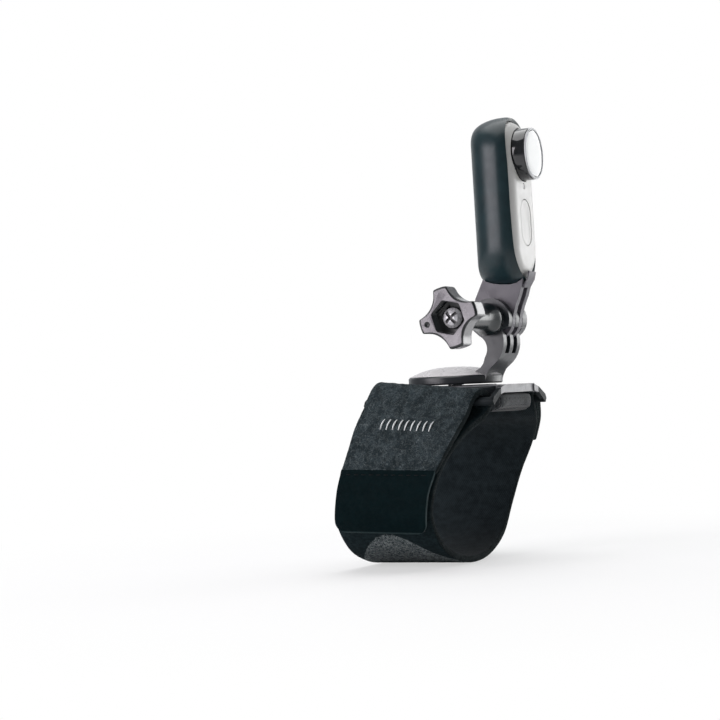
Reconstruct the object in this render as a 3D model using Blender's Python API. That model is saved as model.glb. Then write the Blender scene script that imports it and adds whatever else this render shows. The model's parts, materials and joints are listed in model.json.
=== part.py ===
"""Hand strap camera mount: felt strap, base plate, swivelling turntable with a J arm,
tilting cradle with a small pill-shaped camera, and a four-lobed thumb screw.

Frame: +X towards the fingers and the lens, +Z out of the back of the hand, origin on the flat
middle of the pad's underside. Sizes below are in millimetres; meshes are written in metres.
"""

import math

import bmesh
import bpy
from mathutils import Vector

MM = 0.001
GAP = 0.3

# Hinge between the J arm and the cradle
HINGE_Z = 28.3
LEAN = math.radians(-1.0)
FIN_R = 6.9
BOLT_R = 2.45
BORE_R = 2.85
ARM_W = 15.4
SLOT_Y = (1.45, 4.8)
PRONG_Y = (1.75, 4.5)
SLOT_FLOOR = 17.2
LIP_HALF = 3.2

# Camera and cradle shell, measured from the hinge in the leaned frame
PILL_R = 12.8
PILL_LO = 10.5
PILL_HI = 66.0
BACK_X = -4.2
SIDE_X = 6.3
CORNER_X = 6.9
CORNER_R = 6.3
WALL = 1.0
FRONT_X = CORNER_X + CORNER_R - WALL - GAP
PARTING_X = SIDE_X + 0.4
BACK_INSET = 10.6
BACK_EASE_LOW = 0.35
BACK_EASE_HIGH = 0.45
RIM_NEAR = math.radians(40)
RIM_FAR = math.radians(27)
RIM_TOP = math.radians(20)
RIM_WRAP = math.radians(12)
LENS_Z = PILL_HI - PILL_R
LENS_R = 8.5
LENS_X = 16.0
LIGHT_Z = 43.0
CONTACT_Z = 22.0
CONTACT_Y = 2.4
CONTACT_R = 0.8
BUTTON_Z = 31.0
BUTTON_R = 4.6
BUTTON_HALF = 3.0

# Thumb screw, along -Y from the hinge
STAR_R = 9.8
SCALLOP_R = 8.1
SCALLOP_AT = 14.7
STAR_SOFT = 0.3
STAR_TURN = math.radians(15)
STAR_FRONT = -43.0
STAR_BACK = -34.2
NECK_R = 3.7
FLANGE_R = 5.3
FLANGE_Y = -9.4
HEX_FLATS = 10.0
HEX_TURN = math.radians(-13)
POCKET_DEPTH = 4.8
HEAD_R = 2.65
CROSS_BLADE = (0.45, 2.2)
CROSS_TURNS = (("a", 40), ("b", 130))
WASHER_BACK = -8.05
NUT_FLATS = 8.0
NUT_Y = (6.9, 10.4)
NUT_BOSS_R = 6.3

# Base plate on the back of the hand, and the domed turntable that swivels on it
SWIVEL_X = -16.0
TABLE_R = 15.6
TABLE_LO = 7.7
TABLE_RIM = 10.3
TABLE_DOME = 3.3
BOSS_R = 13.5
RIVET_R = 2.6
BASE_X = (-38.0, 6.2)
BASE_HALF_Y = 18.7
BASE_TOP = 7.1
BASE_T = 2.7
BASE_CORNER = 4.5
PAD_X = (-37.6, 5.8)
PAD_HALF_Y = 17.4
PAD_CORNER = 6.0
PAD_FLAT = 6.0
PAD_HOLLOW_R = 25.0
RIVET_HEAD_R = 4.7
RIVET_WELL_R = 5.2
SLOT_X = (-36.6, 5.3)
BAR_Y = 23.5
BAR_Z = 1.9
BAR_R = 1.4

# Strap
BAND_T = 2.2
FLAP_T = 2.2
TAB_T = 1.3
HOOK_T = 0.6
HOOK_MARGIN = 3.0
TAB_OFFSET = 0.55
HOOK_OFFSET = -0.75
STRAP_EDGE = 0.4
THIN_STRAP = 1.5


# ---------------------------------------------------------------- helpers

def clear_scene():
    for obj in list(bpy.data.objects):
        bpy.data.objects.remove(obj, do_unlink=True)


def look(name, colour, roughness, metallic=0.0):
    material = bpy.data.materials.get(name)
    if material:
        return material
    material = bpy.data.materials.new(name)
    material.use_nodes = True
    shader = material.node_tree.nodes["Principled BSDF"]
    shader.inputs["Base Color"].default_value = (*colour, 1.0)
    shader.inputs["Roughness"].default_value = roughness
    shader.inputs["Metallic"].default_value = metallic
    return material


def new_object(name, mesh, parent=None, smooth=35):
    obj = bpy.data.objects.new(name, mesh)
    bpy.context.collection.objects.link(obj)
    if parent:
        obj.parent = parent
    mesh.shade_smooth()
    mesh.set_sharp_from_angle(angle=math.radians(smooth))
    return obj


def solid(name, verts, faces, material=None, parent=None, origin=(0, 0, 0)):
    """Closed mesh from millimetre points; the object's origin sits at `origin`."""
    centre = Vector(origin)
    mesh = bpy.data.meshes.new(name)
    mesh.from_pydata([(Vector(v) - centre) * MM for v in verts], [], faces)
    work = bmesh.new()
    work.from_mesh(mesh)
    bmesh.ops.recalc_face_normals(work, faces=work.faces)
    work.to_mesh(mesh)
    work.free()
    obj = new_object(name, mesh, parent)
    obj.location = centre * MM
    if material:
        mesh.materials.append(material)
    return obj


def loft(name, rings, material=None, parent=None, origin=(0, 0, 0), closed=False):
    """Skin through rings of equal count, with flat ends unless the rings close on themselves."""
    count = len(rings[0])
    verts = [p for ring in rings for p in ring]
    faces = []
    for i in range(len(rings) - (0 if closed else 1)):
        here, there = i * count, ((i + 1) % len(rings)) * count
        for k in range(count):
            after = (k + 1) % count
            faces.append((here + k, here + after, there + after, there + k))
    if not closed:
        faces.append(tuple(range(count)))
        faces.append(tuple(range(len(verts) - count, len(verts))))
    return solid(name, verts, faces, material, parent, origin)


def prism(name, outline, lo, hi, axis, material=None, parent=None, origin=(0, 0, 0)):
    """Extrude a 2-D outline: along Y it holds (x, z), along X (y, z), along Z (x, y)."""
    place = {
        "x": lambda a, b, h: (h, a, b),
        "y": lambda a, b, h: (a, h, b),
        "z": lambda a, b, h: (a, b, h),
    }[axis]
    rings = [[place(a, b, h) for a, b in outline] for h in (lo, hi)]
    return loft(name, rings, material, parent, origin)


def circle(radius, centre=(0.0, 0.0), count=32, start=0.0):
    angles = [start + 2 * math.pi * k / count for k in range(count)]
    return [(centre[0] + radius * math.cos(a), centre[1] + radius * math.sin(a)) for a in angles]


def arc(radius, centre, start_deg, end_deg, count):
    """Points from one angle to another, ends included."""
    angles = [math.radians(start_deg + (end_deg - start_deg) * k / count) for k in range(count + 1)]
    return [(centre[0] + radius * math.cos(a), centre[1] + radius * math.sin(a)) for a in angles]


def hexagon(flats, centre=(0.0, 0.0), turn=0.0):
    return circle(flats / math.sqrt(3), centre, 6, turn)


def turned(name, profile, axis, centre, material=None, parent=None, count=32):
    """Turn a closed (radius, height) profile about an axis through `centre`."""
    place = {
        "x": lambda r, h, c, s: (centre[0] + h, centre[1] + r * c, centre[2] + r * s),
        "y": lambda r, h, c, s: (centre[0] + r * c, centre[1] + h, centre[2] + r * s),
        "z": lambda r, h, c, s: (centre[0] + r * c, centre[1] + r * s, centre[2] + h),
    }[axis]
    verts, rings = [], []
    for radius, height in profile:
        if radius < 1e-6:
            rings.append([len(verts)] * count)
            verts.append(place(0, height, 0, 0))
            continue
        rings.append(list(range(len(verts), len(verts) + count)))
        for k in range(count):
            angle = 2 * math.pi * k / count
            verts.append(place(radius, height, math.cos(angle), math.sin(angle)))
    faces = []
    for i, ring in enumerate(rings):
        nxt = rings[(i + 1) % len(rings)]
        if ring[0] == ring[1] and nxt[0] == nxt[1]:
            continue
        for k in range(count):
            after = (k + 1) % count
            corners = [ring[k], ring[after], nxt[after], nxt[k]]
            faces.append(tuple(dict.fromkeys(corners)))
    return solid(name, verts, faces, material, parent, centre)


def box(name, lo, hi, material=None, parent=None):
    outline = [(lo[0], lo[1]), (hi[0], lo[1]), (hi[0], hi[1]), (lo[0], hi[1])]
    centre = [(a + b) / 2 for a, b in zip(lo, hi)]
    return prism(name, outline, lo[2], hi[2], "z", material, parent, centre)


def rounded_box(name, lo, hi, radius, material, parent=None):
    obj = box(name, lo, hi, material, parent)
    bevel = obj.modifiers.new("round", "BEVEL")
    bevel.width = radius * MM
    bevel.segments = 2
    return obj


def cut(target, cutter, operation="DIFFERENCE"):
    cutter.hide_render = True
    cutter.display_type = "WIRE"
    cutter.parent = target.parent
    boolean = target.modifiers.new(cutter.name, "BOOLEAN")
    boolean.operation = operation
    boolean.solver = "EXACT"
    boolean.object = cutter
    return cutter


def empty(name, location, lean=0.0, parent=None):
    obj = bpy.data.objects.new(name, None)
    bpy.context.collection.objects.link(obj)
    obj.location = Vector(location) * MM
    obj.rotation_euler = (0.0, lean, 0.0)
    obj.parent = parent
    return obj


# ---------------------------------------------------------------- pill-shaped shells

def pill_frame(arc_steps=12, side_steps=6):
    """Directions and spine heights round an upright stadium, as (y, z) normals on a spine."""
    top, bottom = LENS_Z, PILL_LO + PILL_R
    frame = []
    for start, sign, here, there in ((0.0, -1, top, bottom), (math.pi, 1, bottom, top)):
        for k in range(arc_steps + 1):
            angle = start + math.pi * k / arc_steps
            frame.append((math.cos(angle), math.sin(angle), here))
        for k in range(1, side_steps):
            frame.append((sign, 0.0, here + (there - here) * k / side_steps))
    return frame


def pill_ring(x, inset, low=None, high=None):
    """Ring at x, pulled in from the cradle's outer form; `low` and `high` ease the pull at the ends."""
    bottom = PILL_LO + PILL_R
    span = LENS_Z - bottom
    drop = 0.0 if low is None else (inset - low) / span
    rise = 0.0 if high is None else (inset - high) / span
    radius = PILL_R - inset
    ring = []
    for ny, nz, z in pill_frame():
        shift = rise * (z - bottom) - drop * (LENS_Z - z)
        ring.append((x, radius * ny, z + radius * nz + shift))
    return ring


def back_rings(skin, steps=6):
    """Rings from the back face round to the straight side, `skin` inside the outer form."""
    rings = []
    depth = SIDE_X - BACK_X - skin
    for k in range(steps + 1):
        angle = math.pi / 2 * (1 - k / steps)
        pull = BACK_INSET * (1 - math.cos(angle)) * (PILL_R - skin) / PILL_R
        low = skin + BACK_EASE_LOW * pull
        high = skin + BACK_EASE_HIGH * pull
        rings.append(pill_ring(SIDE_X - depth * math.sin(angle), skin + pull, low, high))
    return rings


def rim_angle(ny, z):
    """How far the shell wraps round the camera's front corner at one place on its rim."""
    middle = (PILL_HI + PILL_LO) / 2
    reach = (z - middle) / (PILL_HI - middle)
    side = RIM_NEAR + (RIM_FAR - RIM_NEAR) * (1 + ny) / 2
    if reach > 0:
        return side + (RIM_TOP - side) * reach ** 4
    return side + RIM_WRAP * reach ** 2


def wrap_rings(skin, steps=4):
    """Rings round the front corner, from the straight side to the shell's rim."""
    radius = CORNER_R - skin
    rings = []
    for j in range(steps + 1):
        ring = []
        for ny, nz, z in pill_frame():
            angle = rim_angle(ny, z + PILL_R * nz) * j / steps
            width = PILL_R - skin - radius * (1 - math.cos(angle))
            ring.append((CORNER_X + radius * math.sin(angle), width * ny, z + width * nz))
        rings.append(ring)
    return rings


def corner_rings(skin, steps=5):
    """Rings round the camera's front corner, ending on its flat face."""
    radius = CORNER_R - skin
    rings = []
    for j in range(steps + 1):
        angle = math.pi / 2 * j / steps
        rings.append(pill_ring(CORNER_X + radius * math.sin(angle), skin + radius * (1 - math.cos(angle))))
    return rings


# ---------------------------------------------------------------- camera

def camera(parent):
    white = look("camera_white", (0.80, 0.79, 0.76), 0.35)
    grey = look("camera_grey", (0.55, 0.56, 0.57), 0.4)
    black = look("gloss_black", (0.010, 0.011, 0.013), 0.12)
    glass = look("lens_glass", (0.75, 0.76, 0.77), 0.05)
    skin = WALL + GAP

    outer = [pill_ring(PARTING_X, skin)] + corner_rings(skin)
    inner = [pill_ring(FRONT_X - 1.2, skin + 6.0), pill_ring(FRONT_X - 2.0, skin + 3.7),
             pill_ring(FRONT_X - 3.3, skin + 1.9), pill_ring(PARTING_X, skin + 1.2)]
    front = loft("camera_front_shell", inner + outer, white, parent)
    around = (FRONT_X - 4, FRONT_X + 2)
    cut(front, prism("cut_lens", circle(LENS_R + GAP, (0, LENS_Z), 48), *around, "x"))
    cut(front, prism("cut_button", capsule(BUTTON_R + GAP, BUTTON_HALF), *around, "x"))
    cut(front, prism("cut_light", circle(1.0, (0, LIGHT_Z), 16), *around, "x"))

    rear_edge = PARTING_X - GAP
    rear_outer = back_rings(skin) + [pill_ring(rear_edge, skin)]
    rear_inner = [pill_ring(rear_edge, skin + 1.2)] + back_rings(skin + 1.2)[::-1]
    rear = loft("camera_rear_shell", rear_outer + rear_inner, grey, parent)
    for side, tag in ((-1, "near"), (1, "far")):
        hole = circle(CONTACT_R + GAP, (side * CONTACT_Y, CONTACT_Z), 16)
        cut(rear, prism("cut_contact_" + tag, hole, BACK_X - 1, BACK_X + 4, "x"))

    lens = (LENS_X, 0, LENS_Z)
    barrel = [(5.6, -7.6), (7.4, -7.6), (7.4, -6.6), (LENS_R, -6.6), (LENS_R, -0.5), (5.6, -0.5)]
    turned("lens_barrel", barrel, "x", lens, black, parent, 48)
    bezel = [(7.8, -0.2), (LENS_R - 0.1, -0.2), (LENS_R - 0.1, 0.15), (8.1, 0.3), (7.8, 0.3)]
    turned("lens_bezel", bezel, "x", lens, grey, parent, 48)
    turned("lens_guard", [(0, -0.2), (7.5, -0.2), (7.5, 0.15), (0, 0.15)], "x", lens, glass, parent, 48)
    dome = [(0, -3.2), (5.2, -3.2), (5.2, -2.4), (3.6, -1.5), (0, -1.0)]
    turned("lens_front_element", dome, "x", lens, glass, parent, 24)
    bowl = [(0, -7.4), (4.2, -7.4), (4.2, -6.2), (0, -5.2)]
    turned("lens_rear_element", bowl, "x", lens, glass, parent, 24)
    camera_insides(parent)


def capsule(radius, half):
    """Upright capsule outline in (y, z) about the button's centre."""
    top = arc(radius, (0, BUTTON_Z + half), 0, 180, 10)
    return top + arc(radius, (0, BUTTON_Z - half), 180, 360, 10)


def camera_insides(parent):
    white = look("camera_white", (0.80, 0.79, 0.76), 0.35)
    board = look("circuit_board", (0.03, 0.12, 0.06), 0.5)
    silver = look("bare_steel", (0.62, 0.63, 0.65), 0.3, 1.0)
    gold = look("gold_contact", (0.85, 0.62, 0.25), 0.3, 1.0)
    foil = look("battery_foil", (0.30, 0.31, 0.33), 0.45, 0.6)
    lamp = look("light_window", (0.15, 0.16, 0.17), 0.2)

    prism("shutter_button", capsule(BUTTON_R, BUTTON_HALF), FRONT_X - 1.3, FRONT_X - 0.05, "x",
          white, parent, (FRONT_X, 0, BUTTON_Z))
    switch_lo = (7.4, -2.6, BUTTON_Z - 2.6)
    switch_hi = (FRONT_X - 1.9, 2.6, BUTTON_Z + 2.6)
    rounded_box("button_switch", switch_lo, switch_hi, 0.3, silver, parent)
    rounded_box("image_sensor", (6.4, -5.5, LENS_Z - 5.5), (7.6, 5.5, LENS_Z + 5.5), 0.2, board, parent)
    rounded_box("main_board", (1.4, -7.2, 21.5), (2.6, 7.2, 54.0), 0.2, board, parent)
    rounded_box("battery", (3.2, -8.0, 19.5), (6.6, 8.0, 46.0), 0.8, foil, parent)
    prism("light_window", circle(0.7, (0, LIGHT_Z), 16), FRONT_X - 1.2, FRONT_X - 0.05, "x",
          lamp, parent, (FRONT_X, 0, LIGHT_Z))
    for tag, z in (("lower", 29.0), ("upper", 45.0)):
        prism("magnet_" + tag, circle(3.6, (0, z), 24), -1.0, 0.9, "x", silver, parent, (0, 0, z))
    for tag, side in (("near", -1), ("far", 1)):
        pin = circle(CONTACT_R, (side * CONTACT_Y, CONTACT_Z), 12)
        pivot = (0, side * CONTACT_Y, CONTACT_Z)
        prism("contact_" + tag, pin, BACK_X + 1.5, 0.6, "x", gold, parent, pivot)


# ---------------------------------------------------------------- cradle

def cradle(parent):
    dark = look("soft_black", (0.012, 0.020, 0.024), 0.45)
    grey = look("bracket_grey", (0.10, 0.10, 0.115), 0.4)
    outer = back_rings(0.0) + wrap_rings(0.0)
    inner = wrap_rings(WALL)[::-1] + back_rings(WALL)[::-1]
    loft("cradle_shell", outer + inner, dark, parent)

    outline = arc(FIN_R, (0, 0), 176, 360, 22)
    outline += [(8.0, 3.8), (9.6, 7.4), (10.7, 10.8), (11.4, 14.2), (11.4, 19.0)]
    outline += [(-2.6, 19.0), (-2.4, 14.0), (-4.1, 10.6), (-5.8, 7.2), (-6.7, 3.6)]
    bracket = prism("cradle_bracket", outline, -PRONG_Y[1], PRONG_Y[1], "y", grey, parent)
    gap = [(-9.0, -9.0), (12.0, -9.0), (12.0, 7.4), (-9.0, 7.4)]
    cut(bracket, prism("cut_prongs", gap, -PRONG_Y[0], PRONG_Y[0], "y"))
    groove = [(7.0, 7.0), (14.0, 7.0), (14.0, 16.5), (8.6, 16.5)]
    cut(bracket, prism("cut_front_groove", groove, -PRONG_Y[0], PRONG_Y[0], "y"))
    cut(bracket, prism("cut_bracket_bore", circle(BORE_R), -8, 8, "y"))
    cut(bracket, loft("cut_seat", back_rings(-GAP) + corner_rings(-GAP)))
    lip = [(10.0, 9.8), (10.8, 9.8), (12.5, 12.4), (13.1, 14.8), (12.65, 15.0), (12.45, 13.6), (11.9, 12.2)]
    cut(bracket, prism("join_lip", lip, -LIP_HALF, LIP_HALF, "y"), "UNION")


# ---------------------------------------------------------------- thumb screw

def star_radius(angle):
    """Blunt lobes with a round scallop between each pair, and softened corners."""
    from_lobe = (angle - STAR_TURN + math.pi / 4) % (math.pi / 2) - math.pi / 4
    from_scallop = math.pi / 4 - abs(from_lobe)
    beyond = SCALLOP_R ** 2 - (SCALLOP_AT * math.sin(from_scallop)) ** 2
    scallop = SCALLOP_AT * math.cos(from_scallop) - math.sqrt(max(beyond, 0.0))
    return -STAR_SOFT * math.log(math.exp(-scallop / STAR_SOFT) + math.exp(-STAR_R / STAR_SOFT))


def star_outline(shrink=0.0, count=64):
    points = []
    for k in range(count):
        angle = 2 * math.pi * k / count
        radius = star_radius(angle) - shrink
        points.append((radius * math.cos(angle), radius * math.sin(angle)))
    return points


def thumb_screw(parent, washer_parent):
    black = look("knob_black", (0.02, 0.02, 0.022), 0.25)
    steel = look("bare_steel", (0.62, 0.63, 0.65), 0.3, 1.0)
    levels = [(STAR_FRONT, 0.5), (STAR_FRONT + 0.5, 0.0), (STAR_BACK - 1.6, 0.0), (STAR_BACK, 1.6)]
    rings = [[(x, y, z) for x, z in star_outline(shrink)] for y, shrink in levels]
    neck = [(NECK_R + 0.8, STAR_BACK + 0.8), (NECK_R, STAR_BACK + 2.5), (NECK_R, -16.5)]
    neck += [(NECK_R + 0.5, -14.0), (FLANGE_R - 0.4, -12.0), (FLANGE_R, -10.6), (FLANGE_R, FLANGE_Y)]
    for radius, y in neck:
        rings.append([(x, y, z) for x, z in circle(radius, count=64)])
    knob = loft("thumb_knob", rings, black, parent)
    pocket_end = STAR_FRONT + POCKET_DEPTH
    cut(knob, prism("cut_pocket", hexagon(HEX_FLATS, turn=HEX_TURN), STAR_FRONT - 2, pocket_end, "y"))
    cut(knob, prism("cut_knob_bore", circle(BORE_R, count=24), pocket_end - 2, FLANGE_Y + 2, "y"))

    head = pocket_end - GAP
    profile = [(0, head - 2.4), (1.2, head - 2.4), (HEAD_R - 0.4, head - 1.8), (HEAD_R + 0.5, head - 0.6),
               (HEAD_R + 0.5, head), (BOLT_R, head), (BOLT_R, 10.6), (BOLT_R - 0.5, 11.0), (0, 11.0)]
    screw = turned("knob_screw", profile, "y", (0, 0, 0), steel, parent)
    for tag, turn in CROSS_TURNS:
        blade = rotated_slot(*CROSS_BLADE, math.radians(turn))
        cut(screw, prism("cut_cross_" + tag, blade, head - 4, head - 1.4, "y"))

    front, rim = FLANGE_Y + GAP, FLANGE_R - 0.3
    washer = [(BORE_R, front), (rim, front), (rim, WASHER_BACK), (BORE_R, WASHER_BACK)]
    turned("flange_washer", washer, "y", (0, 0, 0), steel, washer_parent)


def rotated_slot(half_width, half_length, turn):
    signs = ((-1, -1), (1, -1), (1, 1), (-1, 1))
    c, s = math.cos(turn), math.sin(turn)
    corners = [(a * half_length, b * half_width) for a, b in signs]
    return [(x * c - z * s, x * s + z * c) for x, z in corners]


# ---------------------------------------------------------------- base, turntable and J arm

def plan_stations(x_range, corner, steps):
    """Stations along X that crowd into the rounded corners."""
    lo, hi = x_range
    near = [lo + corner * (1 - math.cos(math.pi / 2 * k / steps)) for k in range(steps + 1)]
    return near + [lo + hi - x for x in near[::-1]]


def plan_half(x, x_range, half_y, corner):
    """Half width of a rounded rectangle at x."""
    reach = min(x - x_range[0], x_range[1] - x, corner)
    return half_y - corner + math.sqrt(max(corner ** 2 - (corner - reach) ** 2, 0.0))


def hand_slab(name, x_range, half_y, corner, roof, floor, material, columns=14):
    """Rounded slab between two height functions of y."""
    rings = []
    for x in plan_stations(x_range, corner, 5):
        half = plan_half(x, x_range, half_y, corner)
        across = [half * math.cos(math.pi * j / columns) for j in range(columns + 1)]
        upper = [(x, y, roof(y)) for y in across]
        rings.append(upper + [(x, y, floor(y)) for y in across[::-1]])
    return loft(name, rings, material, None, (SWIVEL_X, 0, 0))


def eased_top(y):
    """Flat top that rounds over towards the near and far edges."""
    past = max(abs(y) - (BASE_HALF_Y - 4.0), 0.0)
    return BASE_TOP - past ** 2 / 16.0


def base_plate():
    grey = look("bracket_grey", (0.10, 0.10, 0.115), 0.4)
    underside = BASE_TOP - BASE_T
    plate = hand_slab("base_plate", BASE_X, BASE_HALF_Y, BASE_CORNER, eased_top, lambda y: underside, grey)
    centre = (SWIVEL_X, 0)
    cut(plate, prism("join_boss", circle(BOSS_R, centre, 48), underside + 1, TABLE_LO - GAP, "z"), "UNION")
    cut(plate, prism("cut_rivet_hole", circle(RIVET_R + GAP, centre, 24), 0, 12, "z"))
    tip = BAR_Y + 0.4
    lug = [(13.5, 4.6), (18.0, 3.9), (tip, BAR_Z - BAR_R), (BAR_Y + BAR_R, BAR_Z)]
    lug += [(tip, BAR_Z + BAR_R), (18.0, 5.8), (13.5, 6.9)]
    back, front = (BASE_X[0] - 0.4, SLOT_X[0]), (SLOT_X[1], BASE_X[1] + 0.5)
    for side, tag in ((-1, "near"), (1, "far")):
        outline = [(side * y, z) for y, z in lug]
        for end, (lo, hi) in (("back", back), ("front", front)):
            cut(plate, prism("join_lug_%s_%s" % (tag, end), outline, lo, hi, "x"), "UNION")
        bar = circle(BAR_R, (side * BAR_Y, BAR_Z), 20)
        cut(plate, prism("join_bar_" + tag, bar, SLOT_X[0] - 1.0, SLOT_X[1] + 1.0, "x"), "UNION")


def pad():
    foam = look("pad_foam", (0.015, 0.017, 0.020), 0.9)
    ceiling = BASE_TOP - BASE_T - GAP

    def underside(y):
        past = max(abs(y) - PAD_FLAT, 0.0)
        return -past ** 2 / (2 * PAD_HOLLOW_R)

    slab = hand_slab("hand_pad", PAD_X, PAD_HALF_Y, PAD_CORNER, lambda y: ceiling, underside, foam)
    cut(slab, prism("cut_rivet_well", circle(RIVET_WELL_R, (SWIVEL_X, 0), 24), 1.9, 9, "z"))


def turntable():
    """Domed swivel plate and the three-finned J arm, moulded as one."""
    grey = look("bracket_grey", (0.10, 0.10, 0.115), 0.4)
    steel = look("bare_steel", (0.62, 0.63, 0.65), 0.3, 1.0)
    profile = [(0, TABLE_LO), (TABLE_R - 0.4, TABLE_LO), (TABLE_R, TABLE_LO + 0.4)]
    profile.append((TABLE_R, TABLE_RIM - 0.3))
    for k in range(8):
        reach = math.cos(math.pi / 2 * k / 8) * 0.975
        profile.append((TABLE_R * reach, TABLE_RIM + TABLE_DOME * (1 - reach ** 2.6)))
    profile.append((0, TABLE_RIM + TABLE_DOME))
    table = turned("turntable_j_arm", profile, "z", (SWIVEL_X, 0, 0), grey, None, 56)

    h = HINGE_Z
    outline = arc(FIN_R, (0, h), -22, 206, 30)
    outline += arc(4.7, (-6.0, 18.9), 62, -36, 10)
    outline += [(-2.9, 14.0), (-4.0, 12.7), (-5.6, 11.8), (-6.6, 11.0), (-6.6, 8.6), (-2.4, 8.6)]
    outline += [(-1.8, 10.4), (-0.8, 12.2)]
    outline += arc(9.6, (-5.0, 21.2), -55, 22, 8)
    cut(table, prism("join_arm", outline, -ARM_W / 2, ARM_W / 2, "y"), "UNION")
    for side, tag in ((-1, "near"), (1, "far")):
        lo, hi = sorted((side * SLOT_Y[0], side * SLOT_Y[1]))
        gap = [(-12, h + 12), (-12, SLOT_FLOOR), (12, SLOT_FLOOR), (12, h + 12)]
        cut(table, prism("cut_fin_gap_" + tag, gap, lo, hi, "y"))
    boss = circle(NUT_BOSS_R, (0, h), 32)
    cut(table, prism("join_nut_boss", boss, NUT_Y[0], NUT_Y[1] + 0.2, "y"), "UNION")
    cut(table, prism("cut_arm_bore", circle(BORE_R, (0, h), 24), -12, 14, "y"))
    cut(table, prism("cut_nut_pocket", hexagon(NUT_FLATS + 2 * GAP, (0, h)), NUT_Y[0] - GAP, 14, "y"))
    cut(table, prism("cut_rivet_socket", circle(RIVET_R + GAP, (SWIVEL_X, 0), 24), 0, 12.0, "z"))

    nut = prism("captive_nut", hexagon(NUT_FLATS, (0, h)), *NUT_Y, "y", steel, None, (0, 0, h))
    cut(nut, prism("cut_nut_bore", circle(BORE_R, (0, h), 24), 5, 12, "y"))
    rivet = [(0, 2.3), (RIVET_HEAD_R, 2.3), (RIVET_HEAD_R, 3.4), (RIVET_HEAD_R - 0.5, 4.1)]
    rivet += [(RIVET_R, 4.1), (RIVET_R, 11.7), (0, 11.7)]
    turned("swivel_rivet", rivet, "z", (SWIVEL_X, 0, 0), steel, None, 24)


# ---------------------------------------------------------------- strap

def catmull_rom(t, a, b, c, d):
    square = 2 * a - 5 * b + 4 * c - d
    cube = 3 * b - a - 3 * c + d
    return 0.5 * (2 * b + (c - a) * t + square * t ** 2 + cube * t ** 3)


def spline(points, per_span):
    """Catmull-Rom curve through tuples of any length."""
    ends = [points[0], *points, points[-1]]
    out = []
    for i in range(1, len(ends) - 2):
        p0, p1, p2, p3 = ends[i - 1:i + 3]
        for k in range(per_span):
            t = k / per_span
            out.append(tuple(catmull_rom(t, *values) for values in zip(p0, p1, p2, p3)))
    out.append(tuple(points[-1]))
    return out


def ribbon(name, path, thick, material, parent=None, origin=(0, 0, 0), offset=0.0):
    """Flat strap along (x, y, z, width, tilt): its width runs along X, raised by tilt per mm."""
    rings = []
    for i, (x, y, z, width, tilt) in enumerate(path):
        ahead = path[min(i + 1, len(path) - 1)]
        behind = path[max(i - 1, 0)]
        run = Vector((0, ahead[1] - behind[1], ahead[2] - behind[2])).normalized()
        normal = Vector((0, run.z, -run.y))
        across = Vector((1, 0, -tilt))
        centre = Vector((x, y, z)) + normal * offset
        half, skin = width / 2, thick / 2
        inner, low = half - STRAP_EDGE, skin - STRAP_EDGE
        corners = [(-half, low), (-inner, skin), (inner, skin), (half, low)]
        corners += [(half, -low), (inner, -skin), (-inner, -skin), (-half, -low)]
        if thick < THIN_STRAP:
            corners = [(-half, skin), (half, skin), (half, -skin), (-half, -skin)]
        rings.append([tuple(centre + across * a + normal * b) for a, b in corners])
    return loft(name, rings, material, parent, origin)


BAND_POINTS = [
    (-17.4, -26.5, 3.4, 36, 0.10), (-16.4, -25.8, 5.4, 36, 0.10), (-15.0, -23.4, 6.6, 36, 0.10),
    (-13.7, -20.9, 5.0, 36, 0.08), (-13.1, -20.5, 1.6, 36, 0.03), (-14.4, -23.4, -2.6, 36, 0.0),
    (-17.6, -29.2, -6.8, 35.5, 0.0), (-22.0, -34.0, -14, 34.5, 0.0), (-26.0, -35.6, -23, 34, 0.0),
    (-29.0, -33.4, -33.5, 34, 0.0), (-29.0, -25.6, -43.2, 34, 0.0), (-28.5, -13.5, -48.4, 34, 0.0),
    (-28.0, 0, -50, 34, 0.0), (-28.0, 13.5, -48.4, 34, 0.0), (-28.0, 25.6, -43.2, 34, 0.0),
    (-27.5, 33.4, -33.5, 34, 0.0), (-24.5, 35.6, -23, 34, 0.0), (-20.0, 34, -14, 34.5, 0.0),
    (-16.4, 29.2, -6.8, 35.5, 0.0), (-14.6, 23.4, -2.6, 36, 0.0), (-14.4, 20.5, 1.6, 36, 0.0),
    (-14.4, 20.9, 4.2, 36, 0.0), (-14.4, 23.5, 5.6, 36, 0.0), (-14.4, 26.3, 4.0, 36, 0.0),
    (-15.0, 28.7, -0.3, 36, 0.0), (-16.6, 32.6, -5.6, 36, 0.0), (-19.4, 36.4, -12.4, 35, 0.0),
]
FLAP_POINTS = [
    (-17.6, -27.0, 2.7, 36, 0.10), (-18.2, -29.4, -0.8, 36, 0.09), (-19.8, -33.9, -6.6, 35.5, 0.07),
    (-21.8, -37.2, -13.2, 34, 0.05), (-24.6, -38.3, -19.6, 33, 0.03),
]
TAB_POINTS = [
    (-24.8, -38.4, -20.2, 32.6, 0.03), (-26.8, -38.3, -26.0, 32, 0.03), (-28.6, -36.6, -33.6, 32, 0.03),
    (-29.4, -33.9, -38.4, 32, 0.03),
]


def strap():
    felt = look("strap_felt", (0.030, 0.040, 0.042), 0.95)
    smooth = look("tab_nylon", (0.008, 0.012, 0.014), 0.7)
    hooks = look("hook_field", (0.02, 0.02, 0.022), 0.8)
    ribbon("strap_band", spline(BAND_POINTS, 3), BAND_T, felt, None, (-28, 0, -48))
    hinge = FLAP_POINTS[0][:3]
    ribbon("strap_flap", spline(FLAP_POINTS, 3), FLAP_T, felt, None, hinge)
    tab = spline(TAB_POINTS, 3)
    ribbon("hook_tab", tab, TAB_T, smooth, None, hinge, offset=TAB_OFFSET)
    hook_line = [(x, y, z, width - HOOK_MARGIN, tilt) for x, y, z, width, tilt in tab]
    ribbon("hook_field", hook_line, HOOK_T, hooks, None, hinge, offset=HOOK_OFFSET)


# ---------------------------------------------------------------- assembly

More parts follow.
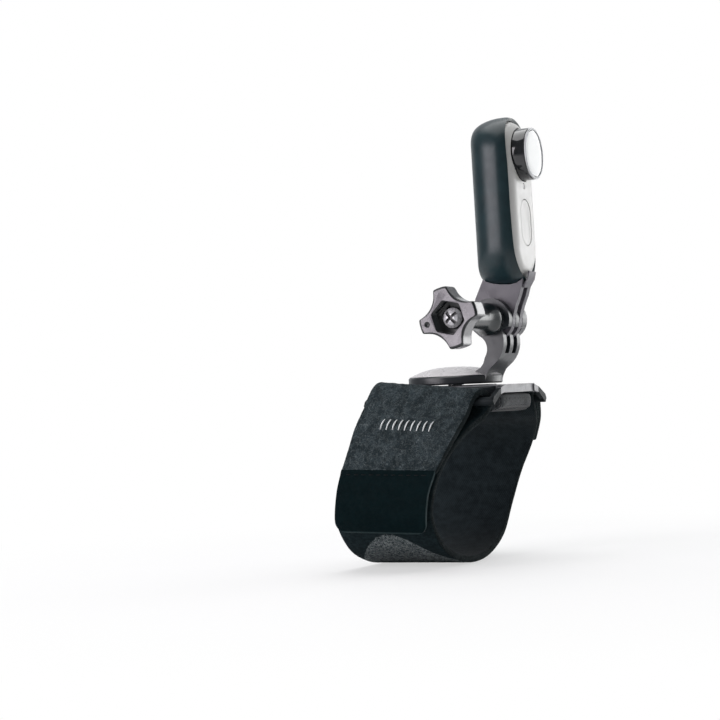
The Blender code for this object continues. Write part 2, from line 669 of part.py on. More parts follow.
def main():
    clear_scene()
    tilt = empty("tilt_axis", (0, 0, HINGE_Z), LEAN)
    screw_slide = empty("screw_axis", (0, 0, HINGE_Z))
    screw_turn = empty("screw_turn", (0, 0, 0), 0.0, screw_slide)
    base_plate()
    pad()
    strap()
    turntable()
    cradle(tilt)
    camera(tilt)
    thumb_screw(screw_turn, screw_slide)


main()
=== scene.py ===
"""Looks for the hand strap camera mount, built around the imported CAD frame.

Frame: +X towards the fingers and the lens, +Z out of the back of the hand. Lengths in this script
are millimetres unless a name says otherwise; meshes are written in metres.
"""

import json
import math

import bmesh
import bpy
import numpy as np
from mathutils import Matrix, Vector, noise


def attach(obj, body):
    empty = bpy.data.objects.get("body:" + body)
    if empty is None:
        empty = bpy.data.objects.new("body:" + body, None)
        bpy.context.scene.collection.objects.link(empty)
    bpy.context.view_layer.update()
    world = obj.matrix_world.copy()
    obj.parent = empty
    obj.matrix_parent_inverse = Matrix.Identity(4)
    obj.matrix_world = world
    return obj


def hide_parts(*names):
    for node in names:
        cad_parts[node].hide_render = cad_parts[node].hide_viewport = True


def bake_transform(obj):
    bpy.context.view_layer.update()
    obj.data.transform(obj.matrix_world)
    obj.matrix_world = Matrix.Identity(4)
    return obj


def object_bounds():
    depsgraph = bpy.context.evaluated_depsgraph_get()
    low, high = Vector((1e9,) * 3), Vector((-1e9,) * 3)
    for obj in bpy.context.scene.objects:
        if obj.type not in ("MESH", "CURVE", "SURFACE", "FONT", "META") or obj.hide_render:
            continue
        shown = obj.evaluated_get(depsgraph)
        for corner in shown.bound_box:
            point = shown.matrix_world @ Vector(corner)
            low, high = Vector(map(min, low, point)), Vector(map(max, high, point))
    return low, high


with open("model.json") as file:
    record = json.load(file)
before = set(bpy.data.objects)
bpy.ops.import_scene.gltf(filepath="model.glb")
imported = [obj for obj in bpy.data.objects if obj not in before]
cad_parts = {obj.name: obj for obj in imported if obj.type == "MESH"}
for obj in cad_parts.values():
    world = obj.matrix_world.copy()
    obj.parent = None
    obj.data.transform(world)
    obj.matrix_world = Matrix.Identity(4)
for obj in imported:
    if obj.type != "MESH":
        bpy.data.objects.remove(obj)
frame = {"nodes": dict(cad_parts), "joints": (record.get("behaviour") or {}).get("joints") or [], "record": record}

CAD_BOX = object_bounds()
MM = 0.001
JOINTS = {joint["name"]: joint for joint in frame["joints"]}
MOUNTS = {mount["name"]: mount for mount in frame["record"]["mounts"]}

# Hinge and lean of the cradle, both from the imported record
HINGE = [c / MM for c in JOINTS["camera_tilt"]["pos_m"]]
SWIVEL = [c / MM for c in JOINTS["turntable_swivel"]["pos_m"]]
LENS_AXIS = MOUNTS["lens_guard_face"]["axis"]
LEAN = -math.atan2(LENS_AXIS[2], LENS_AXIS[0])
TILT_FRAME = Matrix.Translation(Vector(HINGE)) @ Matrix.Rotation(LEAN, 4, "Y")

# Camera and shell, measured from the hinge in the leaned frame
PILL_R = 12.8
PILL_LO = 10.5
PILL_HI = 66.0
BACK_X = -4.2
SIDE_X = 6.3
CORNER_X = 6.9
CORNER_R = 6.3
WALL = 1.0
GAP = 0.3
SKIN = WALL + GAP
FRONT_X = CORNER_X + CORNER_R - SKIN
PARTING_X = SIDE_X + 0.4
BACK_INSET = 10.6
BACK_EASE_LOW = 0.35
BACK_EASE_HIGH = 0.45
RIM_NEAR = math.radians(40)
RIM_FAR = math.radians(27)
RIM_TOP = math.radians(20)
RIM_WRAP = math.radians(12)
LENS_Z = PILL_HI - PILL_R
LENS_X = 16.0
LENS_R = 8.5
LENS_CENTRE = TILT_FRAME @ Vector((LENS_X, 0, LENS_Z))
LIGHT_Z = 43.0
LIGHT_R = 1.0
BUTTON_Z = 31.0
BUTTON_R = 4.6
BUTTON_HALF = 3.0
BUTTON_GAP = 0.12

# Thumb screw, along -Y from the hinge
STAR_R = 9.8
SCALLOP_R = 8.1
SCALLOP_AT = 14.7
STAR_SOFT = 0.3
STAR_TURN = math.radians(15)
STAR_FRONT = -43.0
STAR_BACK = -34.2
NECK_R = 3.7
FLANGE_R = 5.3
FLANGE_Y = -9.4
HEX_FLATS = 10.0
HEX_TURN = math.radians(-13)
POCKET_DEPTH = 4.8
BORE_R = 2.85
DIMPLE_R = 1.4
DIMPLE_AT = 7.2
CROSS_TURN = math.radians(40)
CROSS_HALF = (0.5, 2.3)

# Pad fabric: voxel size, held top edge, pressure, frames, and the furthest a point may move
PAD_VOXEL = 0.9
PAD_HELD = 0.8
PAD_PRESSURE = 4.0
CLOTH_FRAMES = 20
PAD_CAP = 0.8

# Where the turntable's crown and the plate's strap bars are told apart
TABLE_R = 15.6
CROWN_TOP = 14.2
CROWN_SLOPE = 0.85
BAR_START = 17.3

# Straps: thicknesses, how far layers lie off the middle line, and the tab's corners and hooks
BAND_T = 2.2
FLAP_T = 2.2
TAB_T = 1.3
TAB_OFFSET = 0.55
TAB_CORNER = 4.2
TAB_HEM = 1.1
HOOK_T = 0.6
HOOK_OFFSET = -0.75
HOOK_MARGIN = 3.0
STITCH = 1.9
STITCH_PITCH = 2.6

# The band turns from knit to felt past an arch across it
PATCH_START = 50.5
PATCH_HALF = 17.0
PATCH_ARCH = 19.0
# Lengths along the band over which the felt turns darker
PATCH_DARKER = (64.0, 84.0)

# A plain row of upright stitches across the flap, and the box sewn at the band's end
MARK_LO = 21.4
MARK_HI = 25.2
MARK_HALF = 8.4
MARK_BARS = 9
BOX_HALF = 14.0
BOX_ENDS = (2.5, 12.0)

# The strap's middle line: x, y, z, width, and how much the width leans per millimetre
BAND_LINE = [
    (-13.1, -20.5, 1.6, 36, 0.03), (-14.4, -23.4, -2.6, 36, 0.0), (-17.6, -29.2, -6.8, 35.5, 0.0),
    (-22.0, -34.0, -14, 34.5, 0.0), (-26.0, -35.6, -23, 34, 0.0), (-29.0, -33.4, -33.5, 34, 0.0),
    (-29.0, -25.6, -43.2, 34, 0.0), (-28.5, -13.5, -48.4, 34, 0.0), (-28.0, 0, -50, 34, 0.0),
    (-28.0, 13.5, -48.4, 34, 0.0), (-28.0, 25.6, -43.2, 34, 0.0), (-27.5, 33.4, -33.5, 34, 0.0),
    (-24.5, 35.6, -23, 34, 0.0), (-20.0, 34, -14, 34.5, 0.0), (-16.4, 29.2, -6.8, 35.5, 0.0),
    (-14.6, 23.4, -2.6, 36, 0.0), (-14.4, 20.5, 1.6, 36, 0.0), (-14.4, 20.9, 4.2, 36, 0.0),
    (-14.4, 23.5, 5.6, 36, 0.0), (-14.4, 26.3, 4.0, 36, 0.0), (-15.0, 28.7, -0.3, 36, 0.0),
    (-16.6, 32.6, -5.6, 36, 0.0), (-19.4, 36.4, -12.4, 35, 0.0),
]
FLAP_LINE = [
    (-13.1, -20.5, 1.6, 36, 0.03), (-13.7, -20.9, 5.0, 36, 0.08), (-15.0, -23.4, 6.6, 36, 0.10),
    (-16.4, -25.8, 5.4, 36, 0.10), (-17.5, -26.9, 3.0, 36, 0.10), (-18.2, -29.4, -0.8, 36, 0.09),
    (-19.8, -33.9, -6.6, 35.5, 0.07), (-21.8, -37.2, -13.2, 34, 0.05), (-24.6, -38.3, -19.6, 33, 0.03),
]
TAB_LINE = [
    (-24.3, -38.35, -18.4, 32.7, 0.03), (-24.8, -38.4, -20.2, 32.6, 0.03), (-26.8, -38.3, -26.0, 32, 0.03),
    (-28.6, -36.6, -33.6, 32, 0.03), (-29.4, -33.9, -38.4, 32, 0.03),
]

# Floor, surroundings and lamps: name, centre, size, power, colour
FLOOR_R = 9000.0
FLOOR_GAP = 0.15
ROOM_LIGHT = 0.16
BACKDROP_LIGHT = 0.80
LAMPS = (
    ("key", (-520, -720, 230), (640, 620), 6.0, (1.0, 0.95, 1.0)),
    ("behind_right", (420, 700, 160), (600, 500), 2.6, (1.0, 1.0, 1.0)),
    ("overhead", (-40, 60, 620), (620, 620), 3.0, (1.0, 1.0, 1.0)),
)
LAMP_TARGET = (0, 0, 30)

# Camera: angles, distance, and the hinge's place right of and above the picture's middle
AZIMUTH = math.radians(25.3)
ELEVATION = math.radians(-1.0)
ROLL = math.radians(2.5)
DISTANCE = 625.0
HINGE_IN_VIEW = (45.4, 13.2)
FOCAL = 95.0
SENSOR = 36.0

# Moulded plastics: dark and light tone, roughness range, grain depth, grain per mm, edge wear, specular
PLASTICS = {
    "soft_touch": ((0.0050, 0.0170, 0.0210), (0.0080, 0.0240, 0.0290), (0.30, 0.38), 0.008, 7.0, 0.12, 0.4),
    "camera_white_shell": ((0.57, 0.565, 0.545), (0.61, 0.605, 0.585), (0.28, 0.40), 0.006, 6.0, 0.0, 0.5),
    "camera_grey_shell": ((0.50, 0.51, 0.52), (0.58, 0.59, 0.60), (0.35, 0.45), 0.006, 6.0, 0.1, 0.5),
    "arm_plastic": ((0.007, 0.010, 0.013), (0.013, 0.017, 0.021), (0.28, 0.38), 0.010, 6.0, 0.3, 0.6),
    # Middle of the base plate: pale grey as a painted reflection; its strap bars are near-black.
    "plate_plastic_painted_reflection": ((0.11, 0.11, 0.12), (0.15, 0.15, 0.16), (0.30, 0.42), 0.010, 6.0, 0.3, 0.5),
    "fork_plastic": ((0.075, 0.070, 0.084), (0.105, 0.098, 0.115), (0.34, 0.46), 0.010, 6.0, 0.3, 0.5),
    "bar_plastic": ((0.006, 0.009, 0.010), (0.012, 0.016, 0.018), (0.50, 0.60), 0.010, 6.0, 0.1, 0.12),
    # Pale crown of the turntable: a painted reflection of the bright surroundings on its upward faces.
    "turntable_crown_painted_reflection": ((0.50, 0.485, 0.49), (0.58, 0.565, 0.57), (0.25, 0.35), 0.008, 5.0, 0.2, 0.5),
    # Knob face and walls: pale grey tones as painted reflections on the knob's near-black plastic.
    "knob_side_painted_reflection": ((0.16, 0.16, 0.165), (0.22, 0.22, 0.225), (0.12, 0.2), 0.004, 4.0, 0.2, 0.7),
    "knob_edge": ((0.004, 0.006, 0.007), (0.008, 0.011, 0.012), (0.25, 0.35), 0.004, 4.0, 0.2, 0.5),
    "knob_face_painted_reflection": ((0.16, 0.15, 0.165), (0.23, 0.215, 0.235), (0.22, 0.32), 0.010, 5.0, 0.2, 0.6),
    "stem_black": ((0.004, 0.008, 0.009), (0.008, 0.013, 0.014), (0.20, 0.27), 0.003, 4.0, 0.1, 0.6),
    "gloss_black_plastic": ((0.006, 0.007, 0.008), (0.010, 0.011, 0.013), (0.07, 0.13), 0.002, 3.0, 0.1, 0.5),
}


# ---------------------------------------------------------------- node materials

class Look:
    """A Principled material under construction; texture space is millimetres."""

    def __init__(self, name, roughness=0.5, metallic=0.0, **inputs):
        self.material = bpy.data.materials.new(name)
        self.material.use_nodes = True
        self.tree = self.material.node_tree
        self.shader = self.tree.nodes["Principled BSDF"]
        self.set(Roughness=roughness, Metallic=metallic)
        for key, value in inputs.items():
            self.shader.inputs[key.replace("_", " ")].default_value = value
        place = self.node("ShaderNodeTexCoord").outputs["Object"]
        self.place = self.vector("SCALE", place, scale=1 / MM)

    def set(self, **inputs):
        for key, value in inputs.items():
            self.feed(self.shader.inputs[key.replace("_", " ")], value)

    def node(self, kind, **settings):
        node = self.tree.nodes.new(kind)
        for key, value in settings.items():
            setattr(node, key, value)
        return node

    def feed(self, socket, value):
        if isinstance(value, bpy.types.NodeSocket):
            self.tree.links.new(value, socket)
        elif isinstance(value, tuple) and len(value) == 3 and socket.type == "RGBA":
            socket.default_value = (*value, 1.0)
        else:
            socket.default_value = value

    def vector(self, operation, a, b=None, scale=None):
        node = self.node("ShaderNodeVectorMath", operation=operation)
        self.feed(node.inputs[0], a)
        if b is not None:
            self.feed(node.inputs[1], b)
        if scale is not None:
            self.feed(node.inputs["Scale"], scale)
        return node.outputs[0]

    def math(self, operation, a, b=None):
        node = self.node("ShaderNodeMath", operation=operation)
        self.feed(node.inputs[0], a)
        if b is not None:
            self.feed(node.inputs[1], b)
        return node.outputs[0]

    def times(self, a, b):
        return self.math("MULTIPLY", a, b)

    def noise(self, per_mm, detail=2.0, rough=0.5, place=None, warp=0.0):
        node = self.node("ShaderNodeTexNoise")
        self.feed(node.inputs["Vector"], place or self.place)
        self.feed(node.inputs["Scale"], per_mm)
        self.feed(node.inputs["Detail"], detail)
        self.feed(node.inputs["Roughness"], rough)
        self.feed(node.inputs["Distortion"], warp)
        return node.outputs["Fac"]

    def cells(self, per_mm, feature="F1", place=None, randomness=1.0):
        node = self.node("ShaderNodeTexVoronoi", feature=feature)
        self.feed(node.inputs["Vector"], place or self.place)
        self.feed(node.inputs["Scale"], per_mm)
        self.feed(node.inputs["Randomness"], randomness)
        return node.outputs["Distance"]

    def span(self, value, low, high, start=0.0, end=1.0):
        node = self.node("ShaderNodeMapRange")
        node.interpolation_type = "SMOOTHSTEP"
        for socket, number in zip(node.inputs, (value, low, high, start, end)):
            self.feed(socket, number)
        return node.outputs[0]

    def cloud(self, per_mm, detail, start=0.0, end=1.0):
        """Soft patches of noise between `start` and `end`."""
        return self.span(self.noise(per_mm, detail), 0.3, 0.7, start, end)

    def mix(self, factor, a, b):
        node = self.node("ShaderNodeMix", data_type="RGBA")
        self.feed(node.inputs[0], factor)
        self.feed(node.inputs[6], a)
        self.feed(node.inputs[7], b)
        return node.outputs[2]

    def bump(self, height, depth_mm, under=None, strength=1.0):
        node = self.node("ShaderNodeBump")
        self.feed(node.inputs["Height"], height)
        self.feed(node.inputs["Distance"], depth_mm * MM)
        self.feed(node.inputs["Strength"], strength)
        if under:
            self.feed(node.inputs["Normal"], under)
        return node.outputs["Normal"]

    def edge_wear(self):
        """1 on convex edges, 0 elsewhere."""
        point = self.node("ShaderNodeNewGeometry").outputs["Pointiness"]
        return self.span(point, 0.53, 0.60)

    def split(self, vector):
        node = self.node("ShaderNodeSeparateXYZ")
        self.feed(node.inputs[0], vector)
        return node.outputs

    def strip(self):
        """Across and along coordinates of a strap, in millimetres."""
        place = self.node("ShaderNodeAttribute", attribute_name="strip_mm").outputs["Vector"]
        return self.split(place)[:2]

    def weave(self, across_mm, along_mm):
        """Crossed waves: a thread every `across_mm` across a strap and every `along_mm` along it."""
        waves = []
        for place, pitch in zip(self.strip(), (across_mm, along_mm)):
            waves.append(self.math("SINE", self.times(place, 2 * math.pi / pitch)))
        return self.times(*waves)


def moulded(name, **inputs):
    """Injection-moulded plastic: cloudy tone, fine spark texture, slightly rubbed edges."""
    dark, light, rough, grain, grain_per_mm, wear, specular = PLASTICS[name]
    look = Look(name, Specular_IOR_Level=specular, **inputs)
    cloud = look.noise(0.16, 3.0)
    tone = look.mix(look.span(cloud, 0.3, 0.7), dark, light)
    speck = look.span(look.noise(grain_per_mm * 1.7, 1.0), 0.62, 0.78, 0.0, 0.25)
    tone = look.mix(speck, tone, tuple(min(1.0, 1.2 * c + 0.005) for c in light))
    rubbed = look.times(look.edge_wear(), look.span(look.noise(0.9, 3.0), 0.35, 0.65, 0.3, 1.0))
    pale = tuple(min(1.0, 1.8 * c + 0.03) for c in light)
    look.set(Base_Color=look.mix(look.times(rubbed, wear), tone, pale))
    smear = look.noise(0.35, 4.0, 0.6)
    look.set(Roughness=look.span(smear, 0.3, 0.7, rough[0], rough[1]))
    grain_bump = look.bump(look.noise(grain_per_mm, 2.0), grain)
    look.set(Normal=look.bump(look.noise(0.25, 1.0), 0.05, grain_bump, 0.4))
    return look.material


def felt(name, dark, mid, fibre, amount=0.6):
    """Brushed loop felt: matted fibres of several lengths over a clouded dark ground."""
    look = Look(name, roughness=0.95, Specular_IOR_Level=0.12, Sheen_Weight=0.22, Sheen_Roughness=0.5)
    look.shader.inputs["Sheen Tint"].default_value = (*fibre, 1.0)
    cloud = look.span(look.noise(0.32, 4.0, 0.7), 0.38, 0.64)
    tone = look.mix(cloud, dark, mid)
    height = look.noise(2.2, 4.0, 0.7)
    hairs = ((0.45, (1.0, 1.0, 2.2), 0.045), (0.8, (2.0, 1.0, 1.0), 0.055), (1.4, (1.0, 1.0, 1.0), 0.07))
    for per_mm, squeeze, width in hairs:
        warp_node = look.node("ShaderNodeTexNoise")
        look.feed(warp_node.inputs["Vector"], look.place)
        look.feed(warp_node.inputs["Scale"], 0.6 * per_mm)
        warp = look.vector("SCALE", warp_node.outputs["Color"], scale=2.6 / per_mm)
        curled = look.vector("MULTIPLY", look.vector("ADD", look.place, warp), squeeze)
        edge = look.cells(per_mm, "DISTANCE_TO_EDGE", curled)
        hair = look.span(edge, 0.0, width, 1.0, 0.0)
        sparse = look.times(hair, look.span(look.noise(0.7 * per_mm, 2.0), 0.42, 0.6))
        tone = look.mix(look.times(sparse, amount), tone, fibre)
        height = look.math("ADD", height, look.times(hair, 0.5))
    look.set(Base_Color=tone)
    look.set(Normal=look.bump(height, 0.22, strength=0.8))
    return look.material


def nylon(name, dark, light, hem_from=None, hem=None):
    """Smooth woven tape: fine ribs along its length crossed by weft, and a pale hem at its end."""
    look = Look(name, Specular_IOR_Level=0.04)
    along = look.strip()[1]
    weave = look.weave(0.55, 0.44)
    cloud = look.cloud(0.3, 3.0, 0.0, 0.5)
    lit = look.math("ADD", cloud, look.span(weave, -1.0, 1.0, 0.0, 0.5))
    tone = look.mix(lit, dark, light)
    if hem_from:
        tone = look.mix(look.span(along, hem_from, hem_from + 0.3), tone, hem)
    look.set(Base_Color=tone)
    look.set(Roughness=look.cloud(0.8, 2.0, 0.52, 0.7))
    look.set(Normal=look.bump(weave, 0.03, look.bump(look.noise(1.5, 3.0), 0.05)))
    return look.material


def band_outer(name):
    """Smooth near-black knit that turns to felt past an arched border."""
    look = Look(name, roughness=0.9, Specular_IOR_Level=0.08)
    across, along = look.strip()
    from_middle = look.math("DIVIDE", across, PATCH_HALF)
    arch = look.times(look.times(from_middle, from_middle), PATCH_ARCH)
    past = look.math("SUBTRACT", look.math("SUBTRACT", along, arch), PATCH_START)
    ragged = look.math("ADD", past, look.span(look.noise(1.2, 3.0), 0.0, 1.0, -0.5, 0.5))
    patch = look.span(ragged, -0.3, 0.4)
    hair = look.noise(1.1, 5.0, 0.75, warp=1.5)
    fuzzy = look.mix(look.span(hair, 0.40, 0.62), (0.020, 0.030, 0.033), (0.20, 0.225, 0.225))
    # The felt turns darker between the two lengths set above, towards the bottom of the loop.
    matted = look.span(along, PATCH_DARKER[0], PATCH_DARKER[1], 0.0, 0.75)
    fuzzy = look.mix(matted, fuzzy, (0.018, 0.027, 0.029))
    knit = look.mix(look.cloud(1.0, 3.0), (0.005, 0.011, 0.013), (0.012, 0.021, 0.024))
    look.set(Base_Color=look.mix(patch, knit, fuzzy))
    loops = look.times(look.weave(0.6, 0.7), 0.25)
    look.set(Normal=look.bump(look.math("ADD", hair, loops), 0.16))
    return look.material


def lining(name):
    """Brushed inner lining of the strap: close knit with small dimples."""
    look = Look(name, roughness=0.92, Specular_IOR_Level=0.10, Sheen_Weight=0.05)
    knit = look.weave(0.75, 0.9)
    cloud = look.span(look.noise(0.35, 4.0, 0.6), 0.3, 0.7)
    tone = look.mix(cloud, (0.005, 0.009, 0.011), (0.014, 0.021, 0.024))
    look.set(Base_Color=look.mix(look.span(knit, 0.2, 1.0, 0.0, 0.5), tone, (0.028, 0.034, 0.037)))
    look.set(Normal=look.bump(knit, 0.05, look.bump(look.noise(2.5, 4.0, 0.7), 0.10)))
    return look.material


def mesh_cover(name):
    """Spacer-mesh cover of the pad: a close net of small round holes."""
    look = Look(name, roughness=0.85, Specular_IOR_Level=0.2, Sheen_Weight=0.2)
    hole = look.cells(0.85, randomness=0.15)
    net = look.span(hole, 0.18, 0.5)
    cloud = look.cloud(0.3, 3.0)
    thread = look.mix(cloud, (0.010, 0.013, 0.015), (0.026, 0.030, 0.033))
    look.set(Base_Color=look.mix(net, (0.002, 0.002, 0.003), thread))
    look.set(Normal=look.bump(net, 0.18, look.bump(look.noise(3.0, 3.0), 0.05)))
    return look.material


def thread_look(name, dark, light):
    """Twisted sewing thread."""
    look = Look(name, roughness=0.6, Specular_IOR_Level=0.15)
    ply = look.noise(6.0, 2.0, warp=2.0)
    look.set(Base_Color=look.mix(look.span(ply, 0.35, 0.65), dark, light))
    look.set(Normal=look.bump(ply, 0.05))
    return look.material


def steel(name):
    """Bright plated steel with fine turning marks and a few handling smudges."""
    look = Look(name, metallic=1.0)
    stretched = look.vector("MULTIPLY", look.place, (1.0, 9.0, 1.0))
    marks = look.noise(2.4, 3.0, 0.6, stretched)
    tone = (0.62, 0.63, 0.65)
    dull = tuple(0.72 * c for c in tone)
    look.set(Base_Color=look.mix(look.span(marks, 0.3, 0.7), dull, tone))
    smudge = look.noise(0.6, 4.0, 0.6)
    look.set(Roughness=look.span(smudge, 0.3, 0.75, 0.20, 0.42))
    look.set(Normal=look.bump(marks, 0.006))
    return look.material


def disc_cover(name):
    """Coated cover disc over the lens, its face painted pale as a painted reflection of the bright sky, with a
    faint ring near its rim.
    """
    look = Look(name, Coat_Weight=0.3, Coat_Roughness=0.03, IOR=1.45)
    offset = look.vector("SUBTRACT", look.place, tuple(LENS_CENTRE))
    radius = look.node("ShaderNodeVectorMath", operation="LENGTH")
    look.feed(radius.inputs[0], offset)
    rim = look.span(radius.outputs["Value"], 6.6, 7.6)
    haze = look.cloud(0.22, 2.0, 0.0, 0.3)
    # Painted reflection: the disc's pale face stands for the sky reflected in the glass.
    face = look.mix(haze, (0.35, 0.36, 0.355), (0.31, 0.32, 0.325))
    look.set(Base_Color=look.mix(rim, face, (0.38, 0.39, 0.40)))
    look.set(Roughness=look.cloud(0.8, 3.0, 0.10, 0.18))
    look.set(Normal=look.bump(look.noise(0.5, 1.0), 0.008))
    return look.material


def patterned(name, dark, light, per_mm, rough, metallic=0.0, depth=0.01, warp=0.5):
    """Small parts inside: tone, roughness and relief from one noise pattern."""
    look = Look(name, metallic=metallic)
    mark = look.noise(per_mm, 4.0, 0.6, warp=warp)
    look.set(Base_Color=look.mix(look.span(mark, 0.35, 0.65), dark, light))
    look.set(Roughness=look.span(mark, 0.3, 0.7, rough - 0.05, rough + 0.1))
    look.set(Normal=look.bump(mark, depth))
    return look.material


def cross_screw(name):
    """Plated screw with painted shade in its cross recess: the recess is coloured near-black and is not metallic.
    """
    look = Look(name, metallic=0.25)
    x, y, z = look.split(look.vector("SUBTRACT", look.place, tuple(HINGE)))
    cos, sin = math.cos(CROSS_TURN), math.sin(CROSS_TURN)
    u = look.math("ABSOLUTE", look.math("ADD", look.times(x, cos), look.times(z, sin)))
    v = look.math("ABSOLUTE", look.math("SUBTRACT", look.times(z, cos), look.times(x, sin)))
    narrow = look.math("LESS_THAN", look.math("MINIMUM", u, v), CROSS_HALF[0])
    short = look.math("LESS_THAN", look.math("MAXIMUM", u, v), CROSS_HALF[1])
    in_cross = look.times(narrow, short)
    at_head = look.math("LESS_THAN", y, STAR_BACK)
    painted_recess_shade = look.times(in_cross, at_head)
    mark = look.noise(1.5, 4.0, 0.6)
    plating = look.mix(look.span(mark, 0.35, 0.65), (0.62, 0.62, 0.64), (0.84, 0.84, 0.86))
    # Painted shade: the cross recess of the screw head is coloured near-black and loses its metal.
    look.set(Base_Color=look.mix(painted_recess_shade, plating, (0.02, 0.02, 0.024)))
    look.set(Metallic=look.times(look.math("SUBTRACT", 1.0, painted_recess_shade), 0.25))
    look.set(Roughness=look.span(mark, 0.3, 0.7, 0.25, 0.4))
    look.set(Normal=look.bump(mark, 0.01))
    return look.material


def board_look(name):
    """Green solder mask with copper tracks under it."""
    look = Look(name, roughness=0.4)
    track = look.span(look.cells(0.7, "DISTANCE_TO_EDGE", randomness=0.5), 0.03, 0.08, 1.0, 0.0)
    pads = look.span(look.cells(0.9, randomness=0.3), 0.10, 0.16, 1.0, 0.0)
    tone = look.mix(track, (0.012, 0.075, 0.035), (0.035, 0.17, 0.08))
    look.set(Base_Color=look.mix(pads, tone, (0.62, 0.58, 0.45)))
    look.set(Normal=look.bump(track, 0.03))
    return look.material


# ---------------------------------------------------------------- mesh helpers

def reshape(mesh, change):
    """Let `change` work on a mesh as a bmesh, and write the result back."""
    work = bmesh.new()
    work.from_mesh(mesh)
    change(work)
    work.to_mesh(mesh)
    work.free()


def show(name, mesh):
    obj = bpy.data.objects.new(name, mesh)
    bpy.context.scene.collection.objects.link(obj)
    return obj


def piece(name, body, verts, faces, materials, face_slots=None, turn=None, smooth=40):
    """New closed mesh from millimetre points, riding on a CAD body."""
    mesh = bpy.data.meshes.new(name)
    points = [turn @ Vector(v) for v in verts] if turn else [Vector(v) for v in verts]
    mesh.from_pydata([p * MM for p in points], [], faces)
    reshape(mesh, lambda work: bmesh.ops.recalc_face_normals(work, faces=work.faces))
    for material in materials:
        mesh.materials.append(material)
    if face_slots:
        mesh.polygons.foreach_set("material_index", face_slots)
    mesh.shade_smooth()
    mesh.set_sharp_from_angle(angle=math.radians(smooth))
    obj = show(name, mesh)
    if body:
        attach(obj, body)
    return obj


def ring_faces(rings, count, closed=False):
    faces = []
    for i in range(rings - (0 if closed else 1)):
        here, there = i * count, ((i + 1) % rings) * count
        for k in range(count):
            after = (k + 1) % count
            faces.append((here + k, here + after, there + after, there + k))
    if not closed:
        faces.append(tuple(range(count)))
        faces.append(tuple(range((rings - 1) * count, rings * count)))
    return faces


def loft(name, body, rings, materials, turn=None, closed=False):
    verts = [p for ring in rings for p in ring]
    return piece(name, body, verts, ring_faces(len(rings), len(rings[0]), closed), materials, turn=turn)


def along_axis(axis, a, b, height):
    """Point at `height` along an axis and (a, b) across it."""
    point = [a, b]
    point.insert("xyz".index(axis), height)
    return point


def prism(name, body, outline, lo, hi, axis, materials, turn=None):
    rings = [[along_axis(axis, a, b, height) for a, b in outline] for height in (lo, hi)]
    return loft(name, body, rings, materials, turn)


def circle(radius, centre=(0.0, 0.0), count=64, start=0.0):
    angles = [start + 2 * math.pi * k / count for k in range(count)]
    return [(centre[0] + radius * math.cos(a), centre[1] + radius * math.sin(a)) for a in angles]


def turned(name, body, profile, axis, centre, materials, turn=None, count=96):
    """Turn a (radius, height) profile about an axis; a profile that starts off axis is a ring."""
    rings = []
    for radius, height in profile:
        ring = [along_axis(axis, a, b, height) for a, b in circle(radius, count=count)]
        rings.append([[c + offset for c, offset in zip(centre, point)] for point in ring])
    return loft(name, body, rings, materials, turn, closed=profile[0][0] > 0.5)


def rounded(profile, radius):
    """Round the corners of a closed profile of (a, b) points."""
    out, steps = [], 4
    for i, corner in enumerate(profile):
        before, after = Vector(profile[i - 1]), Vector(profile[(i + 1) % len(profile)])
        here = Vector(corner)
        to_before, to_after = before - here, after - here
        reach = min(radius, 0.45 * to_before.length, 0.45 * to_after.length)
        start = here + to_before.normalized() * reach
        end = here + to_after.normalized() * reach
        for k in range(steps + 1):
            t = k / steps
            out.append(tuple((1 - t) ** 2 * start + 2 * t * (1 - t) * here + t * t * end))
    return out


def apply_modifiers(obj):
    bpy.context.view_layer.update()
    solved = obj.evaluated_get(bpy.context.evaluated_depsgraph_get())
    mesh = bpy.data.meshes.new_from_object(solved)
    old = obj.data
    obj.modifiers.clear()
    obj.data = mesh
    bpy.data.meshes.remove(old)
    return obj


def carve(target, cutter):
    """Boolean applied at once; the cutter is used up."""
    boolean = target.modifiers.new("carve", "BOOLEAN")
    boolean.operation = "DIFFERENCE"
    boolean.solver = "EXACT"
    boolean.object = cutter
    apply_modifiers(target)
    bpy.data.objects.remove(cutter, do_unlink=True)
    return target


def soften(obj, width, segments=3, angle=28):
    """Merge flat faces, round the edges, and keep flat faces reading flat."""
    def merge(work):
        bmesh.ops.remove_doubles(work, verts=work.verts, dist=2e-6)
        bmesh.ops.dissolve_limit(work, angle_limit=math.radians(1.0), verts=work.verts, edges=work.edges)

    reshape(obj.data, merge)
    obj.data.shade_smooth()
    bevel = obj.modifiers.new("edges", "BEVEL")
    bevel.width = width * MM
    bevel.segments = segments
    bevel.limit_method = "ANGLE"
    bevel.angle_limit = math.radians(angle)
    bevel.use_clamp_overlap = True
    weighted = obj.modifiers.new("flats", "WEIGHTED_NORMAL")
    weighted.weight = 90
    return obj


def copy_of(node, name, materials):
    """New object with a CAD node's mesh and its own materials."""
    mesh = frame["nodes"][node].data.copy()
    mesh.materials.clear()
    for material in materials:
        mesh.materials.append(material)
    mesh.polygons.foreach_set("material_index", [0] * len(mesh.polygons))
    return show(name, mesh)


def from_node(name, node, body, materials, width):
    """A CAD node's shape with rounded edges, standing for the node."""
    obj = copy_of(node, name, materials)
    if obj.data.has_custom_normals:
        obj.data.attributes.remove(obj.data.attributes["custom_normal"])
    soften(obj, width)
    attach(obj, body)
    return stand_for(obj, node)


